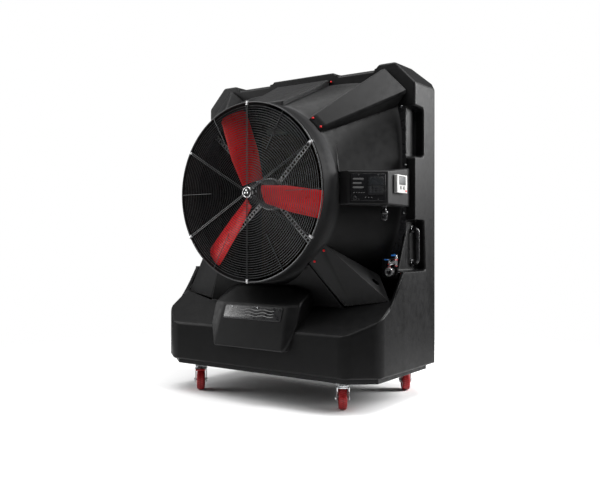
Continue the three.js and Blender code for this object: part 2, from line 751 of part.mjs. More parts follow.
function controlBox() {
  const { innerX, innerY, leftX, leftY, rightX, rightY, rearX } = boxPlan;
  const plan = outline([[440, innerY + 40], [innerX, innerY], [leftX, leftY], [rightX, rightY],
    [rearX, plateY - gap], [440, plateY - gap]]);
  const sides = outline([[80, boxBottomZ], [rightY, boxBottomZ], [plateY, boxBottomZ - 4], [plateY, boxTopZ + 34],
    [rightY, boxTopZ], [80, boxTopZ]]);
  const solid = toSolid(prismZ(plan, 900, 1500)).intersect(toSolid(prismX(sides, 400, 800)));
  const hollowPlan = outline([[440, 178], [520, 125], [567, 105], [723, 231], [716, plateY - 12], [440, plateY - 12]]);
  const hollow = toSolid(prismZ(hollowPlan, boxBottomZ + 6, boxTopZ - 6));
  return toGeometry(biggest(cut(solid, hollow, takenByFunnel)));
}

// The box's front face is turned to the right; these place a piece on it.
const faceAngle = Math.atan2(boxPlan.rightY - boxPlan.leftY, boxPlan.rightX - boxPlan.leftX);

function onFace(geometry, along, z, out) {
  const width = Math.hypot(boxPlan.rightX - boxPlan.leftX, boxPlan.rightY - boxPlan.leftY);
  geometry.rotateZ(faceAngle);
  const x = boxPlan.leftX + along * width * Math.cos(faceAngle) + out * Math.sin(faceAngle);
  const y = boxPlan.leftY + along * width * Math.sin(faceAngle) - out * Math.cos(faceAngle);
  geometry.translate(x, y, z);
  return geometry;
}

const panelThick = 4;
const panelOut = panelThick / 2 + gap;
const panelFace = panelThick + gap;

const controlPanel = () => onFace(new THREE.BoxGeometry(182, panelThick, 142), 0.5, 1178, panelOut);

function knob() {
  const geometry = new THREE.CylinderGeometry(11, 9, 14, 20);
  return onFace(geometry, 0.17, 1122, panelFace + gap + 7);
}

// A small room thermostat on the box's right-hand side.
const thermostatBody = { thick: 20, y0: 292, y1: 408, z0: 1154, z1: 1250 };
const buttonShares = { left: 0.37, right: 0.67 };
const sideX = (y) => boxPlan.rightX + (boxPlan.rearX - boxPlan.rightX)
  * ((y - boxPlan.rightY) / (plateY - boxPlan.rightY));

function thermostat() {
  const { thick, y0, y1, z0, z1 } = thermostatBody;
  const face = sideX(y0) + gap + thick;
  const plan = outline([[sideX(y0) + gap, y0], [face, y0], [face, y1], [sideX(y1) + gap, y1]]);
  const wells = Object.values(buttonShares).map((share) => {
    const y = y0 + (y1 - y0) * share;
    return toSolid(box(face - 6, face + 1, y - 8, y + 8, z0 + 19, z0 + 35));
  });
  return toGeometry(cut(toSolid(prismZ(plan, z0, z1)), ...wells));
}

function thermostatButton(share) {
  const { thick, y0, y1, z0 } = thermostatBody;
  const front = sideX(y0) + gap + thick + 2.5;
  const y = y0 + (y1 - y0) * share;
  return box(front - 5.5, front, y - 7.5, y + 7.5, z0 + 19.5, z0 + 34.5);
}

// The mains inlet: a short plug body that hangs from the underside of the box.
function powerInlet() {
  const profile = [[0, 1008], [13, 1008], [15, 1012], [15, 1040], [19, 1044], [19, 1054], [13, 1058], [11, 1078],
    [16, 1080], [16, boxBottomZ - 4 - gap], [0, boxBottomZ - 4 - gap]];
  const geometry = new THREE.LatheGeometry(profile.map(([r, z]) => new THREE.Vector2(r, z)), 12);
  geometry.rotateX(Math.PI / 2);
  geometry.translate(698, 250, 0);
  return geometry;
}

addPart('control_box', controlBox(), housingBlack);
addPart('control_panel', controlPanel(), trimBlack);
addPart('speed_knob', knob(), trimBlack);
addPart('thermostat', thermostat(), whitePlastic);
addPart('thermostat_button_left', thermostatButton(buttonShares.left), whitePlastic);
addPart('thermostat_button_right', thermostatButton(buttonShares.right), whitePlastic);
addPart('power_inlet', powerInlet(), trimBlack);

// ---- water inlet --------------------------------------------------------------------------------

const inletY = 427;
const inlet = { blockFrontY: 440, couplingX: 640, couplingZ: 727, leftX: 631, leftTop: 790, rightX: 674, rightTop: 815 };

function valveBlock() {
  const block = toSolid(box(574, 676, inlet.blockFrontY, plateY - gap, 690, 800));
  return toGeometry(biggest(cut(block, takenByFunnel)));
}

function valveBody() {
  const y = inletY;
  const { blockFrontY, leftX, leftTop, rightX, rightTop } = inlet;
  const parts = [
    bar([652, blockFrontY - gap, 778], [652, y, 778], 11, 10),
    bar([leftX, y, 768], [rightX, y, 790], 9, 10),
    bar([leftX, y, 752], [leftX, y, leftTop - 6], 8, 10),
    bar([rightX, y, 757], [rightX, y, rightTop - 6], 8, 10),
    bar([leftX, y, leftTop - 8], [leftX, y, leftTop], 5, 8),
    bar([rightX, y, rightTop - 8], [rightX, y, rightTop], 5, 8),
  ];
  return toGeometry(join(...parts.map(toSolid)));
}

function valveLever(x, z) {
  const grip = toSolid(box(x - 28, x + 8, inletY - 6, inletY + 6, z + gap, z + gap + 6));
  const tip = toSolid(box(x - 32, x - 12, inletY - 7, inletY + 7, z + gap, z + gap + 9));
  return toGeometry(join(grip, tip));
}

function hoseCoupling() {
  const front = 400;
  const rear = inlet.blockFrontY - gap;
  const profile = [[14, front], [23, front], [25, front + 3], [25, rear - 8], [21, rear], [14, rear], [14, front]];
  const geometry = new THREE.LatheGeometry(profile.map(([r, y]) => new THREE.Vector2(r, y)), 20);
  geometry.translate(inlet.couplingX, 0, inlet.couplingZ);
  return geometry;
}

addPart('inlet_block', valveBlock(), trimBlack);
addPart('valve_body', valveBody(), chrome);
addPart('valve_lever_left', valveLever(inlet.leftX, inlet.leftTop), leverBlue);
addPart('valve_lever_right', valveLever(inlet.rightX, inlet.rightTop), leverBlue);
addPart('hose_coupling', hoseCoupling(), chrome);

// ---- grab handles -------------------------------------------------------------------------------

function grabHandle(side) {
  const x0 = pocketBackX + gap;
  const out = 736;
  const y = 562;
  const low = 775;
  const high = 965;
  const path = new THREE.CatmullRomCurve3([
    [x0, y, low], [x0 + 14, y, low], [out - 6, y, low + 6], [out, y, low + 24], [out, y, (low + high) / 2],
    [out, y, high - 24], [out - 6, y, high - 6], [x0 + 14, y, high], [x0, y, high],
  ].map((p) => new THREE.Vector3(...p)), false, 'centripetal');
  const section = new THREE.Shape();
  section.absellipse(0, 0, 12, 9, 0, 2 * Math.PI);
  const grip = toSolid(new THREE.ExtrudeGeometry(section, { steps: 16, extrudePath: path, curveSegments: 4 }));
  const feet = [low, high].map((z) => toSolid(box(x0, x0 + 5, y - 18, y + 18, z - 20, z + 20)));
  const solid = join(grip, ...feet).intersect(toSolid(box(x0, 900, 400, 700, 600, 1100)));
  return toGeometry(side > 0 ? solid : solid.mirror([1, 0, 0]));
}

addPart('grab_handle_right', grabHandle(1), trimBlack);
addPart('grab_handle_left', grabHandle(-1), trimBlack);

// ---- wet side: pads, frame, water pipe, pump, float valve and drain ------------------------------

const pads = { rear: rearY - 14, thick: 140, bottom: padOpening.bottom + 2, top: 1612, x: padOpening.x - 3 };

const padBody = (side) => box(Math.min(side * 2, side * pads.x), Math.max(side * 2, side * pads.x),
  pads.rear - pads.thick, pads.rear, pads.bottom, pads.top);

function padFrame() {
  const x = pads.x;
  const rim = 34;
  const from = pads.rear + 1;
  const to = rearY - 2;
  const plate = toSolid(box(-x, x, from, to, pads.bottom, pads.top + 22));
  const windows = [1, -1].map((side) => toSolid(box(side > 0 ? rim / 2 : -x + rim, side > 0 ? x - rim : -rim / 2,
    from - 1, to + 1, pads.bottom + rim, pads.top - rim)));
  return toGeometry(cut(plate, ...windows));
}

function waterPipe() {
  return bar([-555, 866, 1650], [555, 866, 1650], 18, 16);
}

const pumpPlace = { x: 430, y: 640 };

function pump() {
  const floor = tankBottomZ + wall + gap;
  const { x, y } = pumpPlace;
  return toGeometry(join(toSolid(box(x - 60, x + 60, y - 50, y + 50, floor, floor + 28)),
    toSolid(bar([x, y, floor + 20], [x, y, floor + 150], 42, 24)),
    toSolid(bar([x - 40, y + 20, floor + 20], [x - 40, y + 20, floor + 190], 11, 12))));
}

const floatPlace = { x: 640, y: 560, z: 440 };

function floatValve() {
  const { x, y, z } = floatPlace;
  return toGeometry(join(toSolid(box(x, x + 36, y - 14, y + 14, z - 16, z + 16)),
    toSolid(bar([x + 34, y, z], [712, y, z], 9, 14))));
}

function floatArm() {
  const { x, y, z } = floatPlace;
  return toGeometry(join(toSolid(bar([x - 4, y, z - 4], [x - 150, y, z - 90], 4, 8)),
    toSolid(bar([x - 140, y, z - 150], [x - 140, y, z - 82], 34, 20))));
}

function drainPlug() {
  return toGeometry(join(toSolid(bar([420, rearY + gap, 250], [420, rearY + 12, 250], 30, 24)),
    toSolid(bar([420, rearY + 10, 250], [420, rearY + 22, 250], 18, 6))));
}

addPart('cooling_pad_right', padBody(1), padBrown);
addPart('cooling_pad_left', padBody(-1), padBrown);
addPart('pad_frame', padFrame(), frameBlack);
addPart('water_pipe', waterPipe(), pipeWhite);
addPart('pump', pump(), pumpBlack);
addPart('float_valve', floatValve(), pipeWhite);
addPart('float_arm', floatArm(), pipeWhite);
addPart('drain_plug', drainPlug(), trimBlack);

// The origin stands on the floor, under the middle of the whole machine.
const bounds = new THREE.Box3().setFromObject(cooler);
cooler.position.set(-(bounds.min.x + bounds.max.x) / 2, -(bounds.min.y + bounds.max.y) / 2, 0);

export default cooler;
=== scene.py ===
# The looks of a portable evaporative cooler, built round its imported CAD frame.
# Lengths are written in millimetres from the tank's front face (Y = 0) and turned into metres by at().

import json
from math import atan2, cos, pi, radians, sin, sqrt

import bmesh
import bpy
from mathutils import Matrix, Vector

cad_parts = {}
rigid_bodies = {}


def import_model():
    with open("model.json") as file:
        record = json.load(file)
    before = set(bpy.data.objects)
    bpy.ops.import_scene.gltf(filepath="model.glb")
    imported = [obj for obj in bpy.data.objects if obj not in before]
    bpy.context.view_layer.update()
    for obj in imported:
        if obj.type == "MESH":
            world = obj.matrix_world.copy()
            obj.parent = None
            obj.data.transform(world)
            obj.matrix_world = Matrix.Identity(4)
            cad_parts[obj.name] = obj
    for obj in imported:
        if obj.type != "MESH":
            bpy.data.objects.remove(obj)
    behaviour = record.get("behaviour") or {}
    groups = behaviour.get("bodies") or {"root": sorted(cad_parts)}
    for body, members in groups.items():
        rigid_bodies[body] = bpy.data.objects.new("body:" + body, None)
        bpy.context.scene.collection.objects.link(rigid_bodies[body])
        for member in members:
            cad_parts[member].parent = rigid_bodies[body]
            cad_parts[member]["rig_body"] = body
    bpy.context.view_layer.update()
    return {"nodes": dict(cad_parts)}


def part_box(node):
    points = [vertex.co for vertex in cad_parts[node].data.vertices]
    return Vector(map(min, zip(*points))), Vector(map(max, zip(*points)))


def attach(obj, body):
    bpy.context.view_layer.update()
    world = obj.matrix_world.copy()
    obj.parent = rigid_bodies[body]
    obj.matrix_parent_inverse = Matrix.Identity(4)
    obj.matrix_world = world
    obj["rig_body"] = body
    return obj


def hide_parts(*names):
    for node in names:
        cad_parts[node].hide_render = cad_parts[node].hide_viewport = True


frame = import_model()

MM = 0.001
FRONT_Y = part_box("cabinet")[0].y
NODES = frame["nodes"]
RIGHT_LEFT = (("right", 1), ("left", -1))
FRONT = (0, -1, 0)
AXIS_Z = 1166


def at(x, y, z):
    """A point given in millimetres from the tank's front face, in the row frame."""
    return Vector((x * MM, y * MM + FRONT_Y, z * MM))


def put(x, y, z):
    """The shift that takes the origin to such a point."""
    return Matrix.Translation(at(x, y, z))


def shift(x, y, z):
    """A move given in millimetres."""
    return Matrix.Translation((x * MM, y * MM, z * MM))


def spun(angle, axis="Z"):
    return Matrix.Rotation(angle, 4, axis)


def polar(r, angle, y):
    """A point at a radius and an angle round the fan's axis."""
    return at(r * cos(angle), y, AXIS_Z + r * sin(angle))


def middle(node):
    low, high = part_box(node)
    return (low + high) / 2


def link(name, data):
    """A new object in the scene."""
    thing = bpy.data.objects.new(name, data)
    bpy.context.scene.collection.objects.link(thing)
    return thing


def fill(node, values):
    """Sets a shader node's inputs."""
    for socket, value in values.items():
        node.inputs[socket].default_value = value


# ---- camera ----------------------------------------------

CAMERA_PLACE = (2558.9, -3143.1, 907.9)
CAMERA_TURN = 35.34
CAMERA_LENS = 43.83
CAMERA_SHIFT_Y = -0.01803

camera_data = bpy.data.cameras.new("camera")
camera_data.lens = CAMERA_LENS
camera_data.sensor_width = 36
camera_data.shift_y = CAMERA_SHIFT_Y
camera_data.clip_end = 100
camera = link("camera", camera_data)
camera.location = at(*CAMERA_PLACE)
camera.rotation_euler = (radians(90), 0, radians(CAMERA_TURN))
bpy.context.scene.camera = camera


# ---- materials -------------------------------------------

def surface(name, colour, roughness, metallic=0.0, edge_wear_and_highlight=None, mottle=0.25, mottle_scale=14, streak=0.12,
            grain_scale=420, grain=0.2, grain_depth=0.0004, coat=0.0, specular=0.5):
    """A procedural finish: mottled colour, paler edges (partly wear, partly painted highlight), uneven gloss
    and a fine raised grain.
    """
    material = bpy.data.materials.new(name)
    material.use_nodes = True
    tree = material.node_tree
    nodes, links = tree.nodes, tree.links
    shader = nodes["Principled BSDF"]
    fill(shader, {"Metallic": metallic, "Coat Weight": coat, "Coat Roughness": 0.15,
                  "Specular IOR Level": specular})
    place = nodes.new("ShaderNodeTexCoord").outputs["Object"]

    def noise(scale, detail=4.0, rough=0.55):
        node = nodes.new("ShaderNodeTexNoise")
        fill(node, {"Scale": scale, "Detail": detail, "Roughness": rough})
        links.new(place, node.inputs["Vector"])
        return node.outputs["Fac"]

    def spread(value, low, high, out_low, out_high):
        node = nodes.new("ShaderNodeMapRange")
        fill(node, {"From Min": low, "From Max": high, "To Min": out_low, "To Max": out_high})
        links.new(value, node.inputs["Value"])
        return node.outputs["Result"]

    def mixed(factor, first, second):
        node = nodes.new("ShaderNodeMix")
        node.data_type = "RGBA"
        links.new(factor, node.inputs["Factor"])
        for socket, value in ((node.inputs[6], first), (node.inputs[7], second)):
            if isinstance(value, tuple):
                socket.default_value = (*value, 1)
            else:
                links.new(value, socket)
        return node.outputs[2]

    dark = tuple(c * (1 - mottle) for c in colour)
    pale = tuple(min(1, c * (1 + mottle)) for c in colour)
    body = mixed(spread(noise(mottle_scale), 0.35, 0.65, 0, 1), dark, pale)
    # Convex edges, found by pointiness, are painted paler: partly wear and partly painted highlight.
    edge = nodes.new("ShaderNodeNewGeometry").outputs["Pointiness"]
    edge = spread(edge, 0.515, 0.575, 0, 0.55)
    edge_wear_and_highlight = edge_wear_and_highlight or tuple(min(1, c * 1.6 + 0.015) for c in colour)
    links.new(mixed(edge, body, edge_wear_and_highlight), shader.inputs["Base Color"])
    smooth, dull = max(0.03, roughness - streak), min(1, roughness + streak)
    gloss = spread(noise(mottle_scale * 2.3), 0.3, 0.7, smooth, dull)
    links.new(gloss, shader.inputs["Roughness"])
    bump = nodes.new("ShaderNodeBump")
    fill(bump, {"Strength": grain, "Distance": grain_depth})
    links.new(noise(grain_scale, 3.0, 0.6), bump.inputs["Height"])
    links.new(bump.outputs["Normal"], shader.inputs["Normal"])
    return material


# The housing's and collar's edge colour is about ten times paler than their faces: painted highlight along
# the rounded edges, not wear.
HOUSING = surface("housing_plastic", (0.0040, 0.0040, 0.0042), 0.44, grain_scale=330, grain=0.35,
                  mottle=0.15, streak=0.07, specular=0.13, edge_wear_and_highlight=(0.045, 0.045, 0.046))
COLLAR = surface("collar_plastic", (0.0040, 0.0040, 0.0042), 0.58, grain_scale=330, grain=0.35, mottle=0.15,
                 streak=0.07, specular=0.05, edge_wear_and_highlight=(0.045, 0.045, 0.046))
TRIM = surface("trim_black_plastic", (0.009, 0.009, 0.010), 0.30, grain=0.12, mottle=0.2)
PANEL = surface("panel_gloss_black", (0.006, 0.006, 0.007), 0.18, grain=0.05, mottle=0.15, coat=0.4)
FRAME_PAINT = surface("frame_powder_coat", (0.004, 0.004, 0.0045), 0.42, grain=0.3, grain_scale=700,
                      specular=0.15)
RED = surface("blade_red_plastic", (0.80, 0.008, 0.012), 0.38, grain=0.08, mottle=0.10, specular=0.18,
              edge_wear_and_highlight=(1.0, 0.05, 0.05))
WHEEL_RED = surface("wheel_red_polyurethane", (0.23, 0.007, 0.010), 0.40, mottle=0.35, grain=0.2,
                    specular=0.3, edge_wear_and_highlight=(0.50, 0.04, 0.04))
ZINC = surface("zinc_plate", (0.55, 0.56, 0.57), 0.30, metallic=0.95, mottle=0.12, mottle_scale=40,
               grain=0.12)
DULL_ZINC = surface("mount_zinc_dull", (0.50, 0.50, 0.505), 0.42, metallic=0.6, mottle=0.15, grain=0.15)
WIRE = surface("guard_wire_coating", (0.036, 0.037, 0.038), 0.35, metallic=0.3, mottle=0.12, grain=0.1)
BORDER = surface("plate_border_grey", (0.022, 0.022, 0.023), 0.40, mottle=0.1, grain=0.1, specular=0.3)
RELIEF = surface("plate_relief_grey", (0.17, 0.17, 0.17), 0.38, mottle=0.1, grain=0.1)
CHROME = surface("polished_chrome", (0.92, 0.92, 0.93), 0.22, metallic=0.7, mottle=0.06, streak=0.05,
                 grain=0.03)
MOTOR = surface("motor_paint", (0.10, 0.102, 0.105), 0.42, metallic=0.3, grain=0.3)
WHITE = surface("white_plastic", (0.42, 0.42, 0.41), 0.40, mottle=0.04, grain=0.1, specular=0.3,
                edge_wear_and_highlight=(0.55, 0.55, 0.54))
BLUE = surface("lever_blue_grip", (0.04, 0.26, 0.95), 0.34, mottle=0.12, grain=0.15)
PIPE = surface("pipe_plastic", (0.10, 0.10, 0.095), 0.45, mottle=0.1)
BADGE = surface("badge_metal", (0.60, 0.60, 0.60), 0.26, metallic=0.9, mottle=0.1, grain=0.06)
SCREEN = surface("screen_glass", (0.016, 0.018, 0.020), 0.10, mottle=0.1, grain=0.02, coat=0.8)
LCD = surface("display_film", (0.03, 0.033, 0.034), 0.45, mottle=0.1, grain=0.05)
KEY_GREY = surface("key_grey_plastic", (0.13, 0.13, 0.125), 0.4, mottle=0.05, grain=0.1)
PRINT = surface("pale_print", (0.12, 0.12, 0.12), 0.45, mottle=0.06, grain=0.05)
PUMP = surface("pump_black_plastic", (0.012, 0.013, 0.015), 0.5)
# The pads' cellulose is painted far darker than real pad paper: painted shade for the dark inside of the
# machine.
SHADED_PAPER = surface("pad_cellulose_painted_shade", (0.030, 0.021, 0.013), 0.95, mottle=0.35, mottle_scale=55, grain=0.6,
                grain_scale=900, specular=0.05, edge_wear_and_highlight=(0.05, 0.035, 0.022))


# ---- mesh tools ------------------------------------------

class Shape:
    """Collects closed bodies of one piece, each with its own place."""

    def __init__(self):
        self.bm = bmesh.new()

    def add(self, points, faces, place=None):
        place = place or Matrix.Identity(4)
        made = [self.bm.verts.new(place @ Vector(p)) for p in points]
        for face in faces:
            self.bm.faces.new([made[i] for i in face])
        return self

    def take(self, other, place=None):
        other.normal_update()
        points = [v.co.copy() for v in other.verts]
        other.verts.index_update()
        faces = [[v.index for v in f.verts] for f in other.faces]
        other.free()
        return self.add(points, faces, place)


def baked(name, bm):
    """A mesh that holds what the bmesh held."""
    mesh = bpy.data.meshes.new(name)
    bm.to_mesh(mesh)
    bm.free()
    return mesh


def show(name, shape, material, replaces=(), body="machine", slot=None, smooth_angle=38):
    """Turns a Shape into a piece that rides on a body."""
    bmesh.ops.recalc_face_normals(shape.bm, faces=shape.bm.faces)
    mesh = baked(name, shape.bm)
    mesh.shade_smooth()
    mesh.set_sharp_from_angle(angle=radians(smooth_angle))
    mesh.materials.append(material)
    piece = link(name, mesh)
    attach(piece, body)
    if replaces:
        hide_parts(*replaces)


def hex_head(spot, normal, radius, height):
    """A bolt head: a flat hexagon with a softened top."""
    profile = [(0, 0), (radius, 0), (radius, height * 0.75), (radius * 0.86, height), (0, height)]
    return turned(profile, 6, pointing(normal, spot))


def dome_head(spot, normal, radius, height):
    """A button-head screw with a shallow socket."""
    shares = ((0, 0), (1, 0), (1, 0.35), (0.86, 0.75), (0.6, 1), (0.34, 1), (0.3, 0.45), (0, 0.4))
    profile = [(radius * across, height * up) for across, up in shares]
    return turned(profile, 20, pointing(normal, spot))


def heads(name, material, head, spots, radius, height, **more):
    """Bolt or screw heads of one size, each given as [place, normal]."""
    shape = Shape()
    for place, normal in spots:
        shape.add(*head(place, normal, radius, height))
    show(name, shape, material, **more)


def flat_faced(piece):
    """Keeps broad faces flat, so that only their roundings are shaded as curved."""
    normals = piece.modifiers.new("flat faces", "WEIGHTED_NORMAL")
    normals.keep_sharp = True
    normals.weight = 90


def pointing(direction, place):
    """A frame whose Z runs along direction, standing at place."""
    turn = Vector((0, 0, 1)).rotation_difference(Vector(direction).normalized())
    return Matrix.Translation(place) @ turn.to_matrix().to_4x4()


def on_axis(y):
    """A frame on the fan's axis, whose Z runs back along it."""
    return pointing((0, 1, 0), at(0, y, AXIS_Z))


def turned(profile, segments=48, place=None):
    """A body turned about Z from [radius, height] pairs in millimetres. They close up or end at radius 0."""
    points, faces, rings = [], [], []
    loop = profile[0] == profile[-1]
    for r, h in profile[:-1] if loop else profile:
        if r < 1e-6:
            rings.append([len(points)])
            points.append((0, 0, h * MM))
            continue
        rings.append(list(range(len(points), len(points) + segments)))
        for i in range(segments):
            angle = 2 * pi * i / segments
            points.append((r * MM * cos(angle), r * MM * sin(angle), h * MM))
    pairs = list(zip(rings, rings[1:])) + ([(rings[-1], rings[0])] if loop else [])
    for a, b in pairs:
        for i in range(segments):
            j = (i + 1) % segments
            if len(a) == 1 and len(b) > 1:
                faces.append((a[0], b[i], b[j]))
            elif len(b) == 1 and len(a) > 1:
                faces.append((a[i], a[j], b[0]))
            elif len(a) > 1:
                faces.append((a[i], a[j], b[j], b[i]))
    return points, faces, place


def rod(start, end, radius, sides=10, soft=0.3):
    """A round bar in millimetres between two row-frame points, its ends slightly rounded."""
    length = (end - start).length / MM
    edge = radius * soft
    profile = [(0, 0), (radius - edge, 0), (radius, edge), (radius, length - edge), (radius - edge, length),
               (0, length)]
    return turned(profile, sides, pointing(end - start, start))


def skinned(loops, ring=False):
    """Walls that join loops of points in order. The ends are closed, or joined when they make a ring."""
    side, count = len(loops[0]), len(loops)
    faces = []
    for i in range(count if ring else count - 1):
        here, after = i * side, (i + 1) % count * side
        faces += [(here + k, here + (k + 1) % side, after + (k + 1) % side, after + k) for k in range(side)]
    if not ring:
        faces += [tuple(range(side)), tuple((count - 1) * side + k for k in reversed(range(side)))]
    return [p for loop in loops for p in loop], faces


def swept(path, section, closed=False):
    """A section of [u, v] pairs in metres carried along a path of row-frame points."""
    count = len(path)
    loops = []
    normal = None
    for i, here in enumerate(path):
        ahead = path[(i + 1) % count] if closed or i + 1 < count else here
        behind = path[i - 1] if closed or i > 0 else here
        along = (ahead - behind).normalized()
        if normal is None:
            normal = along.orthogonal().normalized()
        normal = (normal - along * normal.dot(along)).normalized()
        across = along.cross(normal)
        loops.append([here + normal * u + across * v for u, v in section])
    return skinned(loops, closed)


def oval(wide, tall, sides):
    """Points round an ellipse, in metres, from its half sizes in millimetres."""
    angles = [2 * pi * i / sides for i in range(sides)]
    return [(wide * MM * cos(angle), tall * MM * sin(angle)) for angle in angles]


def soften(bm, edges, radius, segments, **more):
    """Rounds edges to a radius in millimetres."""
    bmesh.ops.bevel(bm, geom=edges, offset=radius * MM, segments=segments, profile=0.5, affect="EDGES",
                    **more)


def soft_box(size, radius, segments=3):
    """A box with rounded edges, in millimetres, centred on the origin."""
    bm = bmesh.new()
    bmesh.ops.create_cube(bm, size=1)
    bmesh.ops.scale(bm, vec=Vector(size) * MM, verts=bm.verts)
    soften(bm, bm.edges[:], radius, segments)
    return bm


def raised(outline, rise):
    """A flat outline carried along rise into a body, and the points of its far face."""
    bm = bmesh.new()
    face = bm.faces.new([bm.verts.new(p) for p in outline])
    made = bmesh.ops.extrude_face_region(bm, geom=[face])
    moved = [v for v in made["geom"] if isinstance(v, bmesh.types.BMVert)]
    bmesh.ops.translate(bm, verts=moved, vec=rise)
    return bm, moved


def soft_plate(width, height, thick, corner, edge):
    """A flat plate in XZ, centred, with round corners and a softened front edge; its front faces -Y."""
    outline = []
    for cx, cz, start in ((1, 1, 0), (-1, 1, 90), (-1, -1, 180), (1, -1, 270)):
        for step in range(7):
            angle = radians(start + step * 15)
            outline.append(((cx * (width / 2 - corner) + corner * cos(angle)) * MM, 0,
                            (cz * (height / 2 - corner) + corner * sin(angle)) * MM))
    bm, moved = raised(outline, (0, -thick * MM, 0))
    front = [e for e in bm.edges if all(v in moved for v in e.verts)]
    soften(bm, front, edge, 3)
    return bm


# The angle in degrees past which an edge is rounded, and the share of its neighbours it may take.
SHARP_EDGE = 22
ROUNDING_SHARE = 0.42


def safe_radius(edge, width):
    """The widest rounding, in metres, that this edge's neighbours leave room for."""
    along = (edge.verts[1].co - edge.verts[0].co).normalized()
    room = width / ROUNDING_SHARE
    for face in edge.link_faces:
        for corner in face.loops:
            near = corner.edge
            if near is edge or not set(near.verts) & set(edge.verts):
                continue
            way = near.verts[1].co - near.verts[0].co
            if way.length > 0 and abs(way.normalized().dot(along)) < 0.9:
                room = min(room, way.length)
    return min(width, room * ROUNDING_SHARE)


def rounded(name, node, material, width, segments=3, own_width=None):
    """A copy of a CAD node with rounded edges, standing for it. own_width may give an edge its own width."""
    bm = bmesh.new()
    bm.from_mesh(NODES[node].data)
    bmesh.ops.remove_doubles(bm, verts=bm.verts, dist=0.00003)
    bmesh.ops.dissolve_degenerate(bm, edges=bm.edges, dist=0.00003)
    bmesh.ops.dissolve_limit(bm, angle_limit=radians(1.2), verts=bm.verts, edges=bm.edges)
    weight = bm.edges.layers.float.new("bevel_weight_edge")
    widest = width
    wanted = {}
    for edge in bm.edges:
        if len(edge.link_faces) == 2 and edge.calc_face_angle(0) > radians(SHARP_EDGE):
            asked = own_width(edge) if own_width else None
            wanted[edge] = width if asked is None else asked
            widest = max(widest, wanted[edge])
    for edge, asked in wanted.items():
        edge[weight] = safe_radius(edge, asked * MM) / (widest * MM)
    mesh = baked(name, bm)
    mesh.shade_smooth()
    mesh.materials.append(material)
    piece = link(name, mesh)
    bevel = piece.modifiers.new("rounding", "BEVEL")
    bevel.width = widest * MM
    bevel.segments = segments
    bevel.limit_method = "WEIGHT"
    bevel.use_clamp_overlap = False
    bevel.miter_outer = "MITER_ARC"
    flat_faced(piece)
    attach(piece, NODES[node]["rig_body"])
    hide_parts(node)


def tool_body(points, faces, place=None):
    """One closed body, for cutting another."""
    bm = Shape().add(points, faces, place).bm
    bmesh.ops.recalc_face_normals(bm, faces=bm.faces)
    return bm


def duct_space():
    """The space taken by the collar and funnel, a little larger, for cutting what sits on them."""
    angles = [2 * pi * i / ROUND for i in range(ROUND)]
    loops = [[funnel_point(angle, step / 20, -0.6) for angle in angles] for step in range(22)]
    front = at(0, -60, 0).y
    return tool_body(*skinned([[Vector((p.x, front, p.z)) for p in loops[0]]] + loops))


def cover(name, node, points, width, drills=()):
    """A moulded cover: the hull of its corners with soft edges, cut to sit on the duct, for a CAD node."""
    bm = bmesh.new()
    made = [bm.verts.new(at(*p)) for p in points]
    hull = bmesh.ops.convex_hull(bm, input=made)
    loose = {v for v in hull["geom_interior"] + hull["geom_unused"] if isinstance(v, bmesh.types.BMVert)}
    bmesh.ops.delete(bm, geom=[v for v in loose if v.is_valid], context="VERTS")
    bmesh.ops.dissolve_limit(bm, angle_limit=radians(1.5), verts=bm.verts, edges=bm.edges)
    bmesh.ops.recalc_face_normals(bm, faces=bm.faces)
    corners = [e for e in bm.edges if e.calc_face_angle(0) > radians(8)]
    soften(bm, corners, width, 4, clamp_overlap=True)
    body = link(name, baked(name, bm))
    tools = []
    for index, tool_bm in enumerate((duct_space(), *drills)):
        tool_name = f"{name}_tool_{index}"
        tool = link(tool_name, baked(tool_name, tool_bm))
        cutter = body.modifiers.new(tool.name, "BOOLEAN")
        cutter.operation = "DIFFERENCE"
        cutter.solver = "EXACT"
        cutter.object = tool
        tools.append(tool)
    bpy.context.view_layer.update()
    finished = bpy.data.meshes.new_from_object(body.evaluated_get(bpy.context.evaluated_depsgraph_get()))
    body.modifiers.clear()
    body.data = finished
    finished.name = name
    for tool in tools:
        bpy.data.objects.remove(tool)
    finished.materials.clear()
    finished.materials.append(HOUSING)
    finished.shade_smooth()
    finished.set_sharp_from_angle(angle=radians(32))
    flat_faced(body)
    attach(body, "machine")
    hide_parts(node)


def refinish(node, material):
    """A better finish for a CAD node that stays."""
    slot = NODES[node].material_slots[0]
    slot.link = "OBJECT"
    slot.material = material


# ---- shroud: collar and funnel ---------------------------

COLLAR_R = 501
COLLAR_FRONT, COLLAR_REAR = -28, 103
PLATE_Y = 492
MOUTH_HALF_WIDTH, MOUTH_TOP, MOUTH_BOTTOM = 680, 652, 690
MOUTH_POWER_TOP, MOUTH_POWER_BOTTOM = 5, 2.2
ROUND = 176


def mouth_radius(angle):
    """The reach of the funnel's mouth, which is squarer above the axis than below it."""
    upper = sin(angle) >= 0
    power = MOUTH_POWER_TOP if upper else MOUTH_POWER_BOTTOM
    height = MOUTH_TOP if upper else MOUTH_BOTTOM
    across = abs(cos(angle)) / MOUTH_HALF_WIDTH
    up = abs(sin(angle)) / height
    return (across ** power + up ** power) ** (-1 / power)


def funnel_radius(angle, y):
    return COLLAR_R + (mouth_radius(angle) - COLLAR_R) * (y - COLLAR_REAR) / (PLATE_Y - COLLAR_REAR)


def funnel_point(angle, share, inset=0.0):
    y = COLLAR_REAR + (PLATE_Y - COLLAR_REAR) * share
    r = funnel_radius(angle, y) - inset
    return polar(r, angle, y)


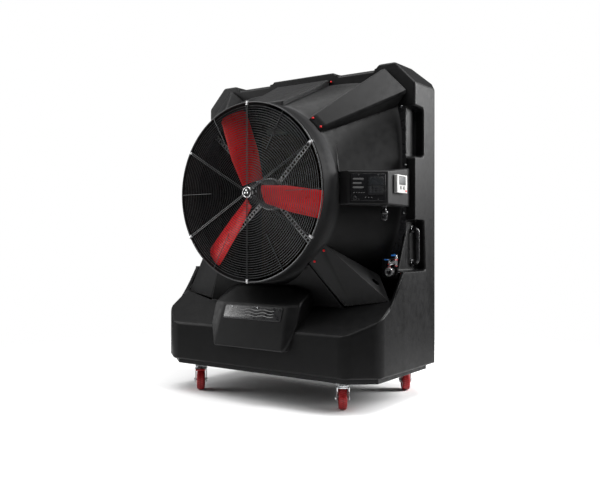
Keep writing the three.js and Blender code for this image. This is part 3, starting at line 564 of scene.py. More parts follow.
def build_shroud():
    shares = [step / 20 for step in range(21)]
    angles = [2 * pi * i / ROUND for i in range(ROUND)]
    loops = [[funnel_point(a, s) for a in angles] for s in shares]
    loops += [[funnel_point(a, s, 6) for a in angles] for s in reversed(shares)]
    show("funnel_skin", Shape().add(*skinned(loops, ring=True)), HOUSING, ("fan_funnel",))

    lip = 3.0
    inner = COLLAR_R - 6
    profile = [(inner, COLLAR_REAR), (inner, COLLAR_FRONT + lip), (inner + 1, COLLAR_FRONT + 0.8),
               (inner + lip, COLLAR_FRONT), (COLLAR_R - lip, COLLAR_FRONT),
               (COLLAR_R - 0.8, COLLAR_FRONT + 0.8), (COLLAR_R, COLLAR_FRONT + lip), (COLLAR_R, 30),
               (COLLAR_R, COLLAR_REAR), (inner, COLLAR_REAR)]
    show("collar_skin", Shape().add(*turned(profile, ROUND, on_axis(0))), COLLAR, ("fan_collar",))


# ---- moulded housing -------------------------------------

TANK_FRONT_CORNER, TANK_SIDE_CORNER = 46, 70


def build_housing():
    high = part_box("cabinet")[1]

    def own_width(edge):
        """The tank's upright front corners are rounder, and the edges inside the cabinet sharper."""
        spot = (edge.verts[0].co + edge.verts[1].co) / 2
        upright = abs((edge.verts[0].co - edge.verts[1].co).normalized().z) > 0.95
        if upright and spot.z < 0.55 and spot.y < at(0, 130, 0).y:
            return TANK_SIDE_CORNER if abs(spot.x) > 0.7 else TANK_FRONT_CORNER
        deep = abs(spot.x) < high.x - 0.065 and PLATE_Y * MM + FRONT_Y + 0.02 < spot.y < high.y - 0.02
        return 1.0 if deep and spot.z < high.z - 0.08 else None

    rounded("cabinet_skin", "cabinet", HOUSING, 13, segments=5, own_width=own_width)
    rounded("control_box_skin", "control_box", HOUSING, 9, segments=3)


def mirrored(points):
    return [(sign * x, y, z) for x, y, z in points for sign in (1, -1)]


RIB_BACK = PLATE_Y - 0.3
UPPER_RIB = ((503, 60, 97), (540, 47.7, 113), (903, 105, RIB_BACK), (800, 118, RIB_BACK),
             (620, 118, RIB_BACK), (480, 60, 130))
LOWER_RIB = ((312, 100, 786), (411, 100, 884), (489, 213, 547), (722, 264, 577), (556, 452, 707),
             (532, 236, 500), (722, 285, 505), (430, 480, 500), (600, 470, 505))
DIAGONAL = sqrt(0.5)
RIB_HOLE_R = 25
TOP_RIB = ((140, 101, 1677), (140, 101, 1630), (195, RIB_BACK, 1855), (195, RIB_BACK, 1800))
HOOD = ((244, -43, 306), (231, -7.5, 453), (231, 27.7, 544), (194, 125.5, 642), (175, 215, 668),
        (259, 8, 306), (298, 0, 424), (303, 44, 552), (290, 165, 623), (290, 215, 600), (284, 215, 530))


def build_covers():
    for side, sign in RIGHT_LEFT:
        spots = [(sign * (r - t) * DIAGONAL, y, AXIS_Z + (r + t) * DIAGONAL)
                 for r, width, y in UPPER_RIB for t in (width, -width)]
        cover(f"rib_upper_{side}_skin", f"rib_upper_{side}", spots, 10)
        spots = [(sign * x, y, z) for x, y, z in LOWER_RIB]
        corners = (LOWER_RIB[1], LOWER_RIB[3], LOWER_RIB[4])
        top, foot, funnel = (Vector((sign * x, y, z)) for x, y, z in corners)
        centre = top + (foot - top) * 0.44 + (funnel - top) * 0.41
        out = (funnel - top).cross(foot - top).normalized() * sign
        drill_place = pointing(out, at(*centre) - out * 45 * MM)
        drill = tool_body(*turned([(0, 0), (RIB_HOLE_R, 0), (RIB_HOLE_R, 90), (0, 90)], 40, drill_place))
        cover(f"rib_lower_{side}_skin", f"rib_lower_{side}", spots, 8, (drill,))
    cover("rib_top_skin", "rib_top", mirrored(TOP_RIB), 9)
    cover("hood_skin", "hood", mirrored(HOOD), 12)


def build_seams():
    """A bead of the same plastic fills the joint between the apron and each lower rib."""
    for side, sign in RIGHT_LEFT:
        beads = Shape()
        top, foot = (at(sign * x, y + 15, z - 6) for x, y, z in (LOWER_RIB[0], LOWER_RIB[2]))
        beads.add(*rod(top, foot, 13, 20))
        show(f"apron_joint_{side}", beads, HOUSING)


def build_flange():
    """A black strip seals the funnel's mouth to the front plate on each side."""
    for side, sign in RIGHT_LEFT:
        edge = []
        low, high = -430, 480
        for step in range(33):
            z = low + (high - low) * step / 32
            low_part = z < 0
            height, power = (MOUTH_BOTTOM, MOUTH_POWER_BOTTOM) if low_part else (MOUTH_TOP, MOUTH_POWER_TOP)
            edge.append((MOUTH_HALF_WIDTH * (1 - (abs(z) / height) ** power) ** (1 / power) - 3, z))
        outline = edge + [(701, high), (701, low)]
        loops = [[at(sign * x, y, AXIS_Z + z) for x, z in outline] for y in (PLATE_Y - 2, PLATE_Y - 0.2)]
        show(f"mouth_flange_{side}", Shape().add(*skinned(loops)), TRIM)


# ---- fan guard -------------------------------------------

GUARD_Y = -34
GUARD_R = 494
RING_COUNT = 34
RING_FIRST = 42
WIRE_R = 1.5


def guard_ring(shape, radius, wire, around, sides=6):
    path = [polar(radius, 2 * pi * i / around, GUARD_Y) for i in range(around)]
    shape.add(*swept(path, oval(wire, wire, sides), closed=True))


def spoke(shape, angle, from_r, to_r, offset=0, hooked=False):
    """A wire that runs out across the front of the rings. A hooked one bends back round the rim."""
    along = Vector((cos(angle), 0, sin(angle)))
    across = Vector((-sin(angle), 0, cos(angle)))
    base = at(0, GUARD_Y - WIRE_R - 2.0, AXIS_Z) + across * offset * MM
    path = [base + along * from_r * MM, base + along * to_r * MM]
    if hooked:
        for bend in (30, 60, 90, 120):
            turn = radians(bend)
            path.append(path[1] + along * 8 * MM * sin(turn) + Vector((0, 8 * MM * (1 - cos(turn)), 0)))
    shape.add(*swept(path, oval(1.7, 1.7, 8)))


def build_guard():
    shape = Shape()
    pitch = (GUARD_R - 8 - RING_FIRST) / RING_COUNT
    for i in range(RING_COUNT):
        radius = RING_FIRST + i * pitch
        guard_ring(shape, radius, WIRE_R, 48 + int(radius / 6))
    guard_ring(shape, GUARD_R, 3.6, 160, sides=8)
    guard_ring(shape, 30, 3.0, 40, sides=8)
    for i in range(6):
        main = radians(30 + 60 * i)
        for offset in (-4.5, 4.5):
            spoke(shape, main, 24, GUARD_R + 2, offset, hooked=True)
        spoke(shape, main + radians(30), 262, GUARD_R - 2)
    show("wire_guard", shape, WIRE, ("fan_guard",))
    clips = Shape()
    for i in range(6):
        turn = radians(30 + 60 * i)
        for r, size in ((GUARD_R - 1, (16, 3, 13)), (GUARD_R - 12, (5, 3, 15))):
            clip = soft_box(size, 0.9, 2)
            spot = polar(r, turn, GUARD_Y - 4.6)
            clips.take(clip, Matrix.Translation(spot) @ spun(-turn, "Y"))
    show("guard_clips", clips, DULL_ZINC, slot="guard_wire")

    rim = [(0, 0), (26, 0), (26, 3), (29, 3), (30.5, 1.5), (30.5, -2.6), (29, -4.4), (26.5, -4.6),
           (25, -3.2), (10, -3.8), (0, -4.0)]
    face = Shape().add(*turned(rim, 64, on_axis(GUARD_Y - 4)))
    show("badge_disc", face, TRIM, ("guard_badge",))
    bead = [(25, -3.2), (26.4, -4.9), (29.2, -4.7), (30.8, -2.6), (29.4, -4.2), (26.6, -4.4), (25, -3.2)]
    ring = Shape().add(*turned(bead, 64, on_axis(GUARD_Y - 4.0)))
    show("badge_ring", ring, BADGE)
    mark = Shape()
    dot = [(0, 0), (5, 0), (6.2, 0.5), (6.2, 0.8), (5, 1.3), (0, 1.4)]
    for i in range(3):
        mark.add(*turned(dot, 20, pointing(FRONT, polar(10, radians(90 + 120 * i), GUARD_Y - 7.5))))
    show("badge_mark", mark, BADGE)


# ---- fan -------------------------------------------------

FAN_Y = 38
HUB_R = 58
TIP_R = 482
FIRST_BLADE = 110


def blade_section(share, across):
    """One slice of the blade, as [across, along the axis, out from the axis] in millimetres."""
    r = HUB_R + 3 + (TIP_R - HUB_R - 3) * share
    half = 60 + 20 * min(1, share * 2.5)
    pitch = radians(34 - 16 * share)
    thick = 4.5 - 1.5 * share
    corner = max(0.0, (share - 0.955) / 0.045)
    half *= sqrt(max(0.0, 1 - corner * corner)) * 0.16 + 0.84
    top, under = [], []
    for k in range(across + 1):
        u = k / across * 2 - 1
        rise = 12 * (1 - u * u)
        edge = thick * (0.12 + 0.88 * sqrt(max(0.0, 1 - u ** 4)))

        def place(lift):
            return (u * half * cos(pitch) + lift * sin(pitch),
                    FAN_Y + u * half * sin(pitch) - lift * cos(pitch), r)
        top.append(place(rise + edge))
        under.insert(0, place(rise - edge))
    return top + under


def build_fan():
    stations, across = 26, 14
    for index in range(3):
        angle = radians(FIRST_BLADE + 120 * index - 90)
        loops = []
        for station in range(stations):
            loops.append([at(x * cos(angle) - r * sin(angle), y,
                             AXIS_Z + x * sin(angle) + r * cos(angle))
                          for x, y, r in blade_section(station / (stations - 1), across)])
        node = f"fan_blade_{index + 1}"
        show(node + "_skin", Shape().add(*skinned(loops)), RED, (node,), body="fan")

    profile = [(12.5, 0), (36, 0), (40, 2), (54, 12), (HUB_R - 1, 15), (HUB_R, 18), (HUB_R, 58),
               (HUB_R - 2, 60), (12.5, 60), (12.5, 0)]
    hub = Shape().add(*turned(profile, 64, on_axis(FAN_Y - 30)))
    show("hub_skin", hub, FRAME_PAINT, ("fan_hub",), body="fan", slot="trim_black")
    spots = [(polar(27, radians(60 * i + 12), FAN_Y - 30), FRONT) for i in range(6)]
    heads("hub_bolts", ZINC, hex_head, spots, 6, 4, body="fan")
    refinish("fan_shaft", ZINC)


STRUT_ANGLES = (45, 139, 221, 315)
STRUT_Y = 172
SLOT_PITCH = 21.6


def build_mount():
    """A clamp ring and four struts, each a pair of rails with slots between them."""
    band = [(84, 1), (85, 0), (91, 0), (92, 1), (92, 39), (91, 40), (85, 40), (84, 39), (84, 1)]
    mount = Shape().add(*turned(band, 72, on_axis(165)))
    for degrees in STRUT_ANGLES:
        spin = put(0, STRUT_Y, AXIS_Z) @ spun(-radians(degrees), "Y")
        reach = funnel_radius(radians(degrees), STRUT_Y) - 9
        for across in (-10.5, 10.5):
            rail = soft_box((reach - 90, 5, 5), 1.0, 2)
            mount.take(rail, spin @ shift((reach + 90) / 2, 0, across))
        for step in range(int((reach - 102) / SLOT_PITCH) + 1):
            bridge = soft_box((7, 3.4, 18), 0.8, 1)
            mount.take(bridge, spin @ shift(102 + step * SLOT_PITCH, 0.4, 0))
    show("motor_mount_struts", mount, DULL_ZINC, ("motor_mount",))


def build_motor():
    place = on_axis(120)
    profile = [(0, 1), (13, 1), (13, 0), (30, 0), (34, 6), (66, 7), (72, 10), (80, 20), (82, 24),
               (82, 40), (78, 42), (78, 128), (82, 130), (82, 146), (76, 158), (66, 169), (0, 170)]
    shape = Shape().add(*turned(profile, 64, place))
    for i in range(28):
        turn = 2 * pi * i / 28
        fin = soft_box((8, 3, 86), 0.8, 2)
        spin = spun(turn) @ shift(79, 0, 85)
        shape.take(fin, place @ spin)
    show("motor_skin", shape, MOTOR, ("fan_motor",))
    build_mount()
    spots = [(polar(r, radians(degrees), 168.6), FRONT)
             for degrees in STRUT_ANGLES for r in (118, 470)]
    heads("mount_bolts", DULL_ZINC, hex_head, spots, 9, 6)


# ---- casters ---------------------------------------------

WHEEL_R = 60
TRAIL = 30
CASTERS = {"front_right": (508, 142, 215.3), "front_left": (-508, 142, 40),
           "rear_right": (508, 848, 35.3), "rear_left": (-508, 848, 35.3)}


def build_wheel(place_name, centre, axle_way):
    frame_of_wheel = pointing(axle_way, centre)
    half = 22.5
    half_profile = [(6.4, 2), (15, 2), (18, 1), (20, -4), (24, -6), (40, -6), (43, -4), (45, -0.6),
                    (47, 0), (52, 0), (56, -2.5), (58.8, -8), (59.6, -14)]
    profile = [(r, -half - out) for r, out in half_profile]
    profile += [(r, half + out) for r, out in reversed(half_profile)]
    profile.append(profile[0])
    shape = Shape().add(*turned(profile, 72, frame_of_wheel))
    for i in range(30):
        for side in (-1, 1):
            turn = 2 * pi * (i + (0.5 if side > 0 else 0)) / 30
            lug = soft_box((3.2, 7.5, 13), 0.9, 2)
            spin = spun(turn) @ shift(58.2, 0, side * 8.5) @ spun(radians(18 * side), "X")
            shape.take(lug, frame_of_wheel @ spin)
    for i in range(5):
        turn = 2 * pi * i / 5
        for side in (-1, 1):
            rib = soft_box((22, 5, 3), 1.0, 2)
            spin = spun(turn) @ shift(31, 0, side * 17.2)
            shape.take(rib, frame_of_wheel @ spin)
    show(f"wheel_{place_name}_tread", shape, WHEEL_RED, (f"caster_wheel_{place_name}",),
         body=f"wheel_{place_name}")


def build_casters():
    for place_name, (x, y, degrees) in CASTERS.items():
        turn = radians(degrees)
        back = Vector((sin(turn), -cos(turn), 0))
        axle_way = Vector((cos(turn), sin(turn), 0))
        centre = at(x, y, WHEEL_R) + back * TRAIL * MM
        build_wheel(place_name, centre, axle_way)
        rounded(f"fork_{place_name}", f"caster_fork_{place_name}", ZINC, 1.6, segments=2)
        rounded(f"caster_top_{place_name}", f"caster_plate_{place_name}", ZINC, 1.2, segments=2)
        refinish(f"caster_axle_{place_name}", ZINC)
        spots = [(at(x + sx * 43, y + sy * 33, 157.6), (0, 0, -1)) for sx in (-1, 1) for sy in (-1, 1)]
        heads(f"caster_bolts_{place_name}", ZINC, hex_head, spots, 6.5, 5)
        caps = Shape()
        for side in (-1, 1):
            spot = centre + axle_way * side * 34.6 * MM
            washer = [(6.2, 0), (12, 0), (12.4, 0.5), (12.4, 1.4), (11.6, 1.9), (6.2, 1.9), (6.2, 0)]
            caps.add(*turned(washer, 32, pointing(axle_way * side, spot)))
        show(f"axle_washers_{place_name}", caps, ZINC, body=f"swivel_{place_name}")
        if f"brake_pedal_{place_name}" in NODES:
            rounded(f"brake_{place_name}_pad", f"brake_pedal_{place_name}", WHEEL_RED, 1.6, segments=3)


# ---- control box and what is on it -----------------------

BOX_LEFT, BOX_RIGHT = Vector((567, 95)), Vector((733, 227))
FACE_TURN = atan2(BOX_RIGHT.y - BOX_LEFT.y, BOX_RIGHT.x - BOX_LEFT.x)
FACE_WIDTH = (BOX_RIGHT - BOX_LEFT).length


def on_face(along, z, out):
    """A place on the box's front, in millimetres along it from its left edge and out from it."""
    x = BOX_LEFT.x + along * cos(FACE_TURN) + out * sin(FACE_TURN)
    y = BOX_LEFT.y + along * sin(FACE_TURN) - out * cos(FACE_TURN)
    return put(x, y, z) @ spun(FACE_TURN)


FACE_NORMAL = Vector((sin(FACE_TURN), -cos(FACE_TURN), 0))
PANEL_OUT = 4.4


def plates(name, material, size, spots, **more):
    """Soft plates of one size on the box's front, each given as [along, z, out]."""
    shape = Shape()
    for spot in spots:
        shape.take(soft_plate(*size), on_face(*spot))
    show(name, shape, material, **more)


def build_control_panel():
    centre = FACE_WIDTH / 2
    plates("panel_plate", PANEL, (182, 142, 4, 7, 1.2), [(centre, 1178, 0.3)], replaces=("control_panel",))
    plates("keypad_frame", TRIM, (84, 92, 2.2, 5, 0.9), [(centre + 40, 1186, PANEL_OUT)])
    plates("keypad_screen", SCREEN, (76, 40, 0.8, 3, 0.3), [(centre + 40, 1208, 6.7)])
    keys = [(centre + 12 + column * 18.7, 1177 - row * 12.5, 6.7) for row in range(3) for column in range(4)]
    plates("keypad_keys", PUMP, (15, 9.5, 1.3, 2.5, 0.5), keys)

    mark = Shape()
    for length, lift in ((58, 22), (46, 0), (58, -22)):
        bar_shape = soft_plate(length, 9, 0.7, 4.4, 0.3)
        mark.take(bar_shape, on_face(centre - 52 + (length - 58) / 2, 1199 + lift, PANEL_OUT))
    show("panel_air_mark", mark, PRINT)
    marks = [(centre - 74 + step * 13, 1150, PANEL_OUT) for step in range(5)]
    plates("panel_scale_marks", PRINT, (9, 3, 0.5, 1.4, 0.2), marks)

    def on_panel(along, z):
        return on_face(along, z, PANEL_OUT).translation, FACE_NORMAL

    screws = [on_panel(along, z) for z in (1241, 1115) for along in (56, 158)]
    heads("panel_screws", BORDER, dome_head, screws, 3.2, 2.2, slot="trim_black")
    heads("panel_lamps", PRINT, dome_head, [on_panel(along, 1125) for along in (92, 108, 124)], 2.6, 2.4)

    centre_of_knob = middle("speed_knob")
    base = centre_of_knob - FACE_NORMAL * 7 * MM
    profile = [(0, 0.2), (11, 0.2), (11.3, 1.2), (11, 2.2), (9.4, 3.2), (9.0, 12), (8.2, 13.6), (6.5, 14),
               (0, 14)]
    knob_shape = Shape().add(*turned(profile, 48, pointing(FACE_NORMAL, base)))
    for i in range(18):
        grip = soft_box((1.6, 1.3, 9), 0.4, 1)
        spin = spun(2 * pi * i / 18) @ shift(9.2, 0, 7.6)
        knob_shape.take(grip, pointing(FACE_NORMAL, base) @ spin)
    show("knob_cap", knob_shape, TRIM, ("speed_knob",), body="speed_knob")
    pointer = Shape().take(soft_box((1.4, 7, 0.8), 0.25, 1), pointing(FACE_NORMAL, base) @ shift(0, 4, 14.0))
    show("knob_pointer", pointer, PRINT, body="speed_knob")


def build_thermostat():
    rounded("thermostat_case", "thermostat", WHITE, 3.4, segments=4)
    low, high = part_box("thermostat")
    centre = Vector((high.x + 0.0002, (low.y + high.y) / 2, high.z - 0.030))

    def on_side(y, z):
        return Matrix.Translation(centre + Vector((0, y * MM, z * MM))) @ spun(radians(90))

    show("thermostat_window", Shape().take(soft_plate(64, 38, 1.2, 4, 0.5), on_side(0, 0)), LCD)
    bezel = Shape()
    bars = ((0, 21.5, 70, 2.4), (0, -21.5, 70, 2.4), (-33.8, 0, 2.4, 41), (33.8, 0, 2.4, 41))
    for y, z, width, height in bars:
        bezel.take(soft_plate(width, height, 1.6, 1.1, 0.5), on_side(y, z))
    show("thermostat_bezel", bezel, TRIM)
    for side in ("left", "right"):
        rounded(f"thermostat_key_{side}", f"thermostat_button_{side}", KEY_GREY, 1.2, segments=3)
    lamp = Vector((high.x + 0.0002, high.y - 0.016, low.z + 0.013))
    heads("thermostat_lamp", RED, dome_head, [(lamp, (1, 0, 0))], 6.4, 2.6)


def build_power_inlet():
    low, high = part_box("power_inlet")
    foot = Vector(((low.x + high.x) / 2, (low.y + high.y) / 2, low.z))
    top = (high.z - low.z) / MM
    profile = [(0, 0.0), (11.5, 0), (13, 1.2), (14.5, 4), (15, 7), (15, 30), (16, 33), (18.6, 35.5),
               (19, 37), (19, 45), (18.2, 46.6), (14, 49), (12, 52), (10.4, 57), (10.4, 66), (11.4, 69.5),
               (15, 71), (16, 72.5), (16, top), (0, top)]
    shape = Shape().add(*turned(profile, 40, Matrix.Translation(foot)))
    for i in range(10):
        turn = 2 * pi * i / 10
        rib = soft_box((1.6, 3, 20), 0.6, 1)
        shape.take(rib, Matrix.Translation(foot) @ spun(turn) @ shift(15.0, 0, 18))
    show("mains_plug", shape, TRIM, ("power_inlet",))
    pins = Shape()
    for y in (-5.5, 5.5):
        pins.take(soft_box((5, 1.8, 3), 0.4, 1), Matrix.Translation(foot + Vector((0, y * MM, 0.0012))))
    show("mains_pins", pins, CHROME)


# ---- water inlet -----------------------------------------

INLET_Y = 427
VALVES = {"left": (631, 752, 790), "right": (674, 757, 815)}


def build_inlet():
    rounded("inlet_block_skin", "inlet_block", TRIM, 5, segments=4)
    rounded("coupling_nut_skin", "hose_coupling", CHROME, 1.6, segments=3)
    brass = Shape()
    brass.add(*rod(at(652, 439, 778), at(652, INLET_Y, 778), 10.5, 32, 0.15))
    brass.add(*rod(at(631, INLET_Y, 768), at(674, INLET_Y, 790), 8.6, 32, 0.1))
    for x, low, top in VALVES.values():
        foot = at(x, INLET_Y, low)
        height = top - low
        profile = [(0, 0), (6.5, 0), (8, 1.2), (8, 7), (7.2, 8.2), (7.2, height - 18), (8, height - 16.5),
                   (8, height - 8), (7, height - 6), (4.6, height - 5.2), (4.6, height), (0, height)]
        brass.add(*turned(profile, 36, Matrix.Translation(foot)))
    show("valve_body_skin", brass, CHROME, ("valve_body",))

    washers = Shape()
    for x, low, top in VALVES.values():
        ring = [(8.2, 0), (9.6, 0), (9.9, 0.6), (9.9, 3.2), (9.2, 3.8), (8.2, 3.8), (8.2, 0)]
        washers.add(*turned(ring, 28, put(x, INLET_Y, low + 1.5)))
        washers.add(*turned(ring, 28, put(x, INLET_Y, top - 22)))
    show("valve_washers", washers, RED)

    for side, (x, low, top) in VALVES.items():
        body = f"lever_{side}"
        arm = Shape()
        arm.take(soft_box((22, 11, 2.4), 0.8, 2), put(x - 3, INLET_Y, top + 1.8))
        arm.add(*hex_head(at(x, INLET_Y, top + 2.8), (0, 0, 1), 4.4, 3.2))
        show(f"lever_{side}_arm", arm, CHROME, body=body)
        grip = Shape()
        outline = [(-7, -5.0), (-14, -6.2), (-27, -6.4), (-31, -4.2), (-31.8, 0), (-31, 4.2), (-27, 6.4),
                   (-14, 6.2), (-7, 5.0)]
        bm, _ = raised([(u * MM, v * MM, 0) for u, v in outline], (0, 0, 6.4 * MM))
        soften(bm, bm.edges[:], 1.6, 3)
        grip.take(bm, put(x, INLET_Y, top + 0.6))
        show(f"lever_{side}_grip", grip, BLUE, (f"valve_lever_{side}",), body=body)


# ---- grab handles ----------------------------------------

def build_handles():
    for side, sign in RIGHT_LEFT:
        x0, out, y, low, high = 700.3, 736, 562, 775, 965
        corners = [(x0, low), (out, low), (out, high), (x0, high)]
        radius = 20
        path = [Vector((corners[0][0], corners[0][1]))]
        for (px, pz), (cx, cz), (nx, nz) in zip(corners, corners[1:], corners[2:]):
            before = Vector((px - cx, pz - cz)).normalized()
            after = Vector((nx - cx, nz - cz)).normalized()
            start, end, hub = (Vector((cx, cz)) + before * radius, Vector((cx, cz)) + after * radius,
                               Vector((cx, cz)) + before * radius + after * radius)
            for step in range(9):
                turn = pi / 2 * step / 8
                path.append(hub + (start - hub) * cos(turn) + (end - hub) * sin(turn))
        path.append(Vector(corners[-1]))
        points = [at(sign * p.x, y, p.y) for p in path]
        grip = Shape().add(*swept(points, oval(9, 12, 20)))
        for z in (low, high):
            grip.take(soft_box((5, 36, 40), 2, 3), put(sign * (x0 + 2.5), y, z))
        show(f"handle_{side}", grip, TRIM, (f"grab_handle_{side}",))
        spots = [(at(sign * (x0 + 4.9), y + step, z), (sign, 0, 0))
                 for z in (low, high) for step in (-14, 14)]
        heads(f"handle_screws_{side}", ZINC, dome_head, spots, 3.4, 2)


# ---- name plate, bolts and screws ------------------------

def build_name_plate():
    low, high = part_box("name_plate")
    lean = atan2(HOOD[2][1] - HOOD[1][1], HOOD[2][2] - HOOD[1][2])
    centre = (low + high) / 2
    place = Matrix.Translation(centre) @ spun(-lean, "X") @ shift(0, 2.4, 0)
    show("plate_border", Shape().take(soft_plate(404, 80, 3.6, 14, 1.4), place), BORDER, ("name_plate",))
    inner = place @ shift(0, -3.5, 0)
    show("plate_field", Shape().take(soft_plate(394, 70, 0.9, 10, 0.4), inner), TRIM)
    waves = Shape()
    for row in range(3):
        path = []
        for step in range(49):
            u = step / 48
            fade = 14 * (1 - abs(row - 1) * 0.3)
            path.append(Vector(((-150 + 300 * u) * MM, -4.6 * MM,
                                ((1 - row) * 17 + fade * 0.32 * sin(u * 6 * pi)) * MM)))
        waves.add(*swept(path, oval(1.1, 3.2, 10)), place)
    show("plate_air_waves", waves, RELIEF)
    way = place.to_3x3() @ Vector(FRONT)
    spots = [(place @ Vector((x * MM, -4.3 * MM, 30 * MM)), way) for x in (-150, 30)]
    heads("plate_screws", ZINC, dome_head, spots, 3.2, 1.8)


def build_bolts():
    red = Shape()
    slope = Vector((16 * DIAGONAL, -37, 16 * DIAGONAL)).normalized()
    r, y = 520, 103.6
    for sign in (1, -1):
        for t in (-36, 36):
            spot = at(sign * (r - t) * DIAGONAL, y, AXIS_Z + (r + t) * DIAGONAL)
            red.add(*dome_head(spot, (sign * slope.x, slope.y, slope.z), 6.6, 4.5))
        red.add(*dome_head(at(sign * 206, PLATE_Y, 1838), FRONT, 6.0, 4))
    inner_low, inner_high, foot_high = (Vector(LOWER_RIB[i]) for i in (0, 1, 3))
    down_way = (foot_high - inner_high).normalized()
    normal = down_way.cross((inner_high - inner_low).normalized()).normalized()
    normal = normal if normal.y < 0 else -normal
    for sign in (1, -1):
        for share in (0.2, 0.8):
            spot = inner_low.lerp(inner_high, share) + down_way * 26
            way = (sign * normal.x, normal.y, normal.z)
            red.add(*dome_head(at(sign * spot.x, spot.y, spot.z), way, 6.6, 4.5))
    show("red_bolts", red, RED)

    spots = [(at(sign * x, PLATE_Y, z), FRONT)
             for sign in (1, -1) for x, z in ((672, 1646), (697, 1320), (688, 1055))]
    heads("housing_screws", ZINC, dome_head, spots, 6, 3)
    spots = [(at(sign * 755.68, y, z), (sign, 0, 0))
             for sign in (1, -1) for y, z in ((376, 459), (627, 456), (714, 456), (557, 1697), (595, 1697))]
    heads("side_screws", RELIEF, dome_head, spots, 5, 0.01, slot="zinc")


# ---- wet side --------------------------------------------

PAD_PITCH, PAD_STEPS = 12.5, 72
PAD_DEPTH = 0.0125


def build_pads():
    """Corrugated sheets stand side by side, their waves crossing, as in a cellulose pad."""
    for side, sign in RIGHT_LEFT:
        node = f"cooling_pad_{side}"
        low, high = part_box(node)
        size = (high - low) / MM
        block = soft_box((size.x, size.y - 24, size.z), 2, 1)
        show(f"pad_core_{side}", Shape().take(block, Matrix.Translation((low + high) / 2)), SHADED_PAPER, (node,))
        sheets = Shape()
        for face_y, back_y in ((high.y, high.y - PAD_DEPTH), (low.y, low.y + PAD_DEPTH)):
            for sheet in range(int(size.x / PAD_PITCH) - 1):
                centre_x = low.x + (sheet + 1) * PAD_PITCH * MM
                loops = []
                for step in range(PAD_STEPS + 1):
                    z = low.z + (high.z - low.z) * step / PAD_STEPS
                    swing = (PAD_PITCH / 2 - 0.8) * MM * (1 if (step + sheet) % 2 == 0 else -1)
                    left, right = centre_x + swing - 0.5 * MM, centre_x + swing + 0.5 * MM
                    corners = ((left, face_y), (left, back_y), (right, back_y), (right, face_y))
                    loops.append([(x, y, z) for x, y in corners])
                sheets.add(*skinned(loops))
        show(f"pad_sheets_{side}", sheets, SHADED_PAPER, smooth_angle=10)
    rounded("pad_frame_skin", "pad_frame", FRAME_PAINT, 3, segments=3)
    low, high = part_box("pad_frame")
    size = (high - low) / MM
    spot = Vector(((low.x + high.x) / 2, (low.y + high.y) / 2, high.z + 7.1 * MM))
    seal = Shape().take(soft_box((size.x, size.y, 14), 1.5, 3), Matrix.Translation(spot))
    show("pad_frame_seal", seal, PUMP)


def build_wet_side():
    build_pads()
    rounded("base_frame_skin", "base_frame", FRAME_PAINT, 4, segments=3)
    for node, material in (("water_pipe", PIPE), ("float_valve", PIPE), ("float_arm", PIPE), ("pump", PUMP)):
        refinish(node, material)
    rounded("drain_plug_skin", "drain_plug", TRIM, 2, segments=3)


# ---- floor and light -------------------------------------

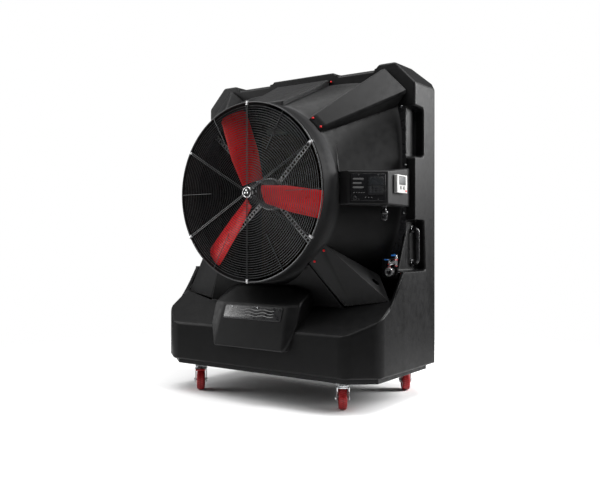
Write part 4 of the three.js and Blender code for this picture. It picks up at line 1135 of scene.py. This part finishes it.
def build_floor():
    """A pale floor that fades into the backdrop."""
    bm = bmesh.new()
    bmesh.ops.create_grid(bm, x_segments=1, y_segments=1, size=30)
    floor = link("floor", baked("floor", bm))
    floor.location.z = -0.0005
    pale = bpy.data.materials.new("pale_floor")
    pale.use_nodes = True
    nodes, links = pale.node_tree.nodes, pale.node_tree.links
    shader = nodes["Principled BSDF"]
    fill(shader, {"Base Color": (0.92, 0.92, 0.92, 1), "Roughness": 0.7, "Specular IOR Level": 0.2,
                  "Emission Color": (1, 1, 1, 1), "Emission Strength": FLOOR_GLOW})
    reach = nodes.new("ShaderNodeVectorMath")
    reach.operation = "LENGTH"
    fade = nodes.new("ShaderNodeMapRange")
    fade.interpolation_type = "SMOOTHSTEP"
    fill(fade, {"From Min": FLOOR_FADE[0], "From Max": FLOOR_FADE[1]})
    blend = nodes.new("ShaderNodeMixShader")
    links.new(nodes.new("ShaderNodeTexCoord").outputs["Object"], reach.inputs[0])
    links.new(reach.outputs["Value"], fade.inputs["Value"])
    links.new(fade.outputs["Result"], blend.inputs["Fac"])
    links.new(shader.outputs["BSDF"], blend.inputs[1])
    links.new(nodes.new("ShaderNodeBsdfTransparent").outputs["BSDF"], blend.inputs[2])
    links.new(blend.outputs["Shader"], nodes["Material Output"].inputs["Surface"])
    floor.data.materials.append(pale)


def build_backdrop():
    """A white backdrop that lights the object far less than it shows."""
    world = bpy.data.worlds.new("studio")
    bpy.context.scene.world = world
    world.use_nodes = True
    nodes, links = world.node_tree.nodes, world.node_tree.links
    background = nodes["Background"]
    fill(background, {"Color": (1, 1, 1, 1), "Strength": WORLD_LIGHT})
    seen = nodes.new("ShaderNodeBackground")
    fill(seen, {"Color": (1, 1, 1, 1), "Strength": 1.0})
    choose = nodes.new("ShaderNodeMixShader")
    links.new(nodes.new("ShaderNodeLightPath").outputs["Is Camera Ray"], choose.inputs["Fac"])
    links.new(background.outputs["Background"], choose.inputs[1])
    links.new(seen.outputs["Background"], choose.inputs[2])
    links.new(choose.outputs["Shader"], nodes["World Output"].inputs["Surface"])


def build_lights():
    for name, place, aim, size, power in SOFT_LIGHTS:
        data = bpy.data.lights.new(name, "AREA")
        data.shape = "RECTANGLE"
        data.size, data.size_y = size
        data.energy = power
        lamp = link(name, data)
        lamp.location = place
        lamp.rotation_euler = (Vector(aim) - Vector(place)).to_track_quat("-Z", "Y").to_euler()


# Metres from the middle at which the floor begins and ends its fade into the backdrop.
FLOOR_FADE = (0.9, 3.2)
WORLD_LIGHT = 0.05
FLOOR_GLOW = 0.01
SOFT_LIGHTS = (
    ("overhead", (-1.2, -0.8, 5.2), (0, 0, 0.4), (4.0, 4.0), 250),
    ("left_bank", (-4.2, -2.2, 2.6), (0, 0, 1.0), (2.4, 3.4), 160),
    ("upper_right", (2.5, -0.1, 5.0), (0.5, 0, 0.8), (1.8, 1.8), 210),
    ("right_bank", (4.1, 3.2, 3.0), (0.7, 0, 0.9), (2.2, 3.0), 560),
)

build_shroud()
build_housing()
build_covers()
build_seams()
build_flange()
build_guard()
build_fan()
build_motor()
build_casters()
build_control_panel()
build_thermostat()
build_power_inlet()
build_inlet()
build_handles()
build_name_plate()
build_bolts()
build_wet_side()
build_floor()
build_backdrop()
build_lights()
bpy.context.scene.view_settings.view_transform = "Standard"
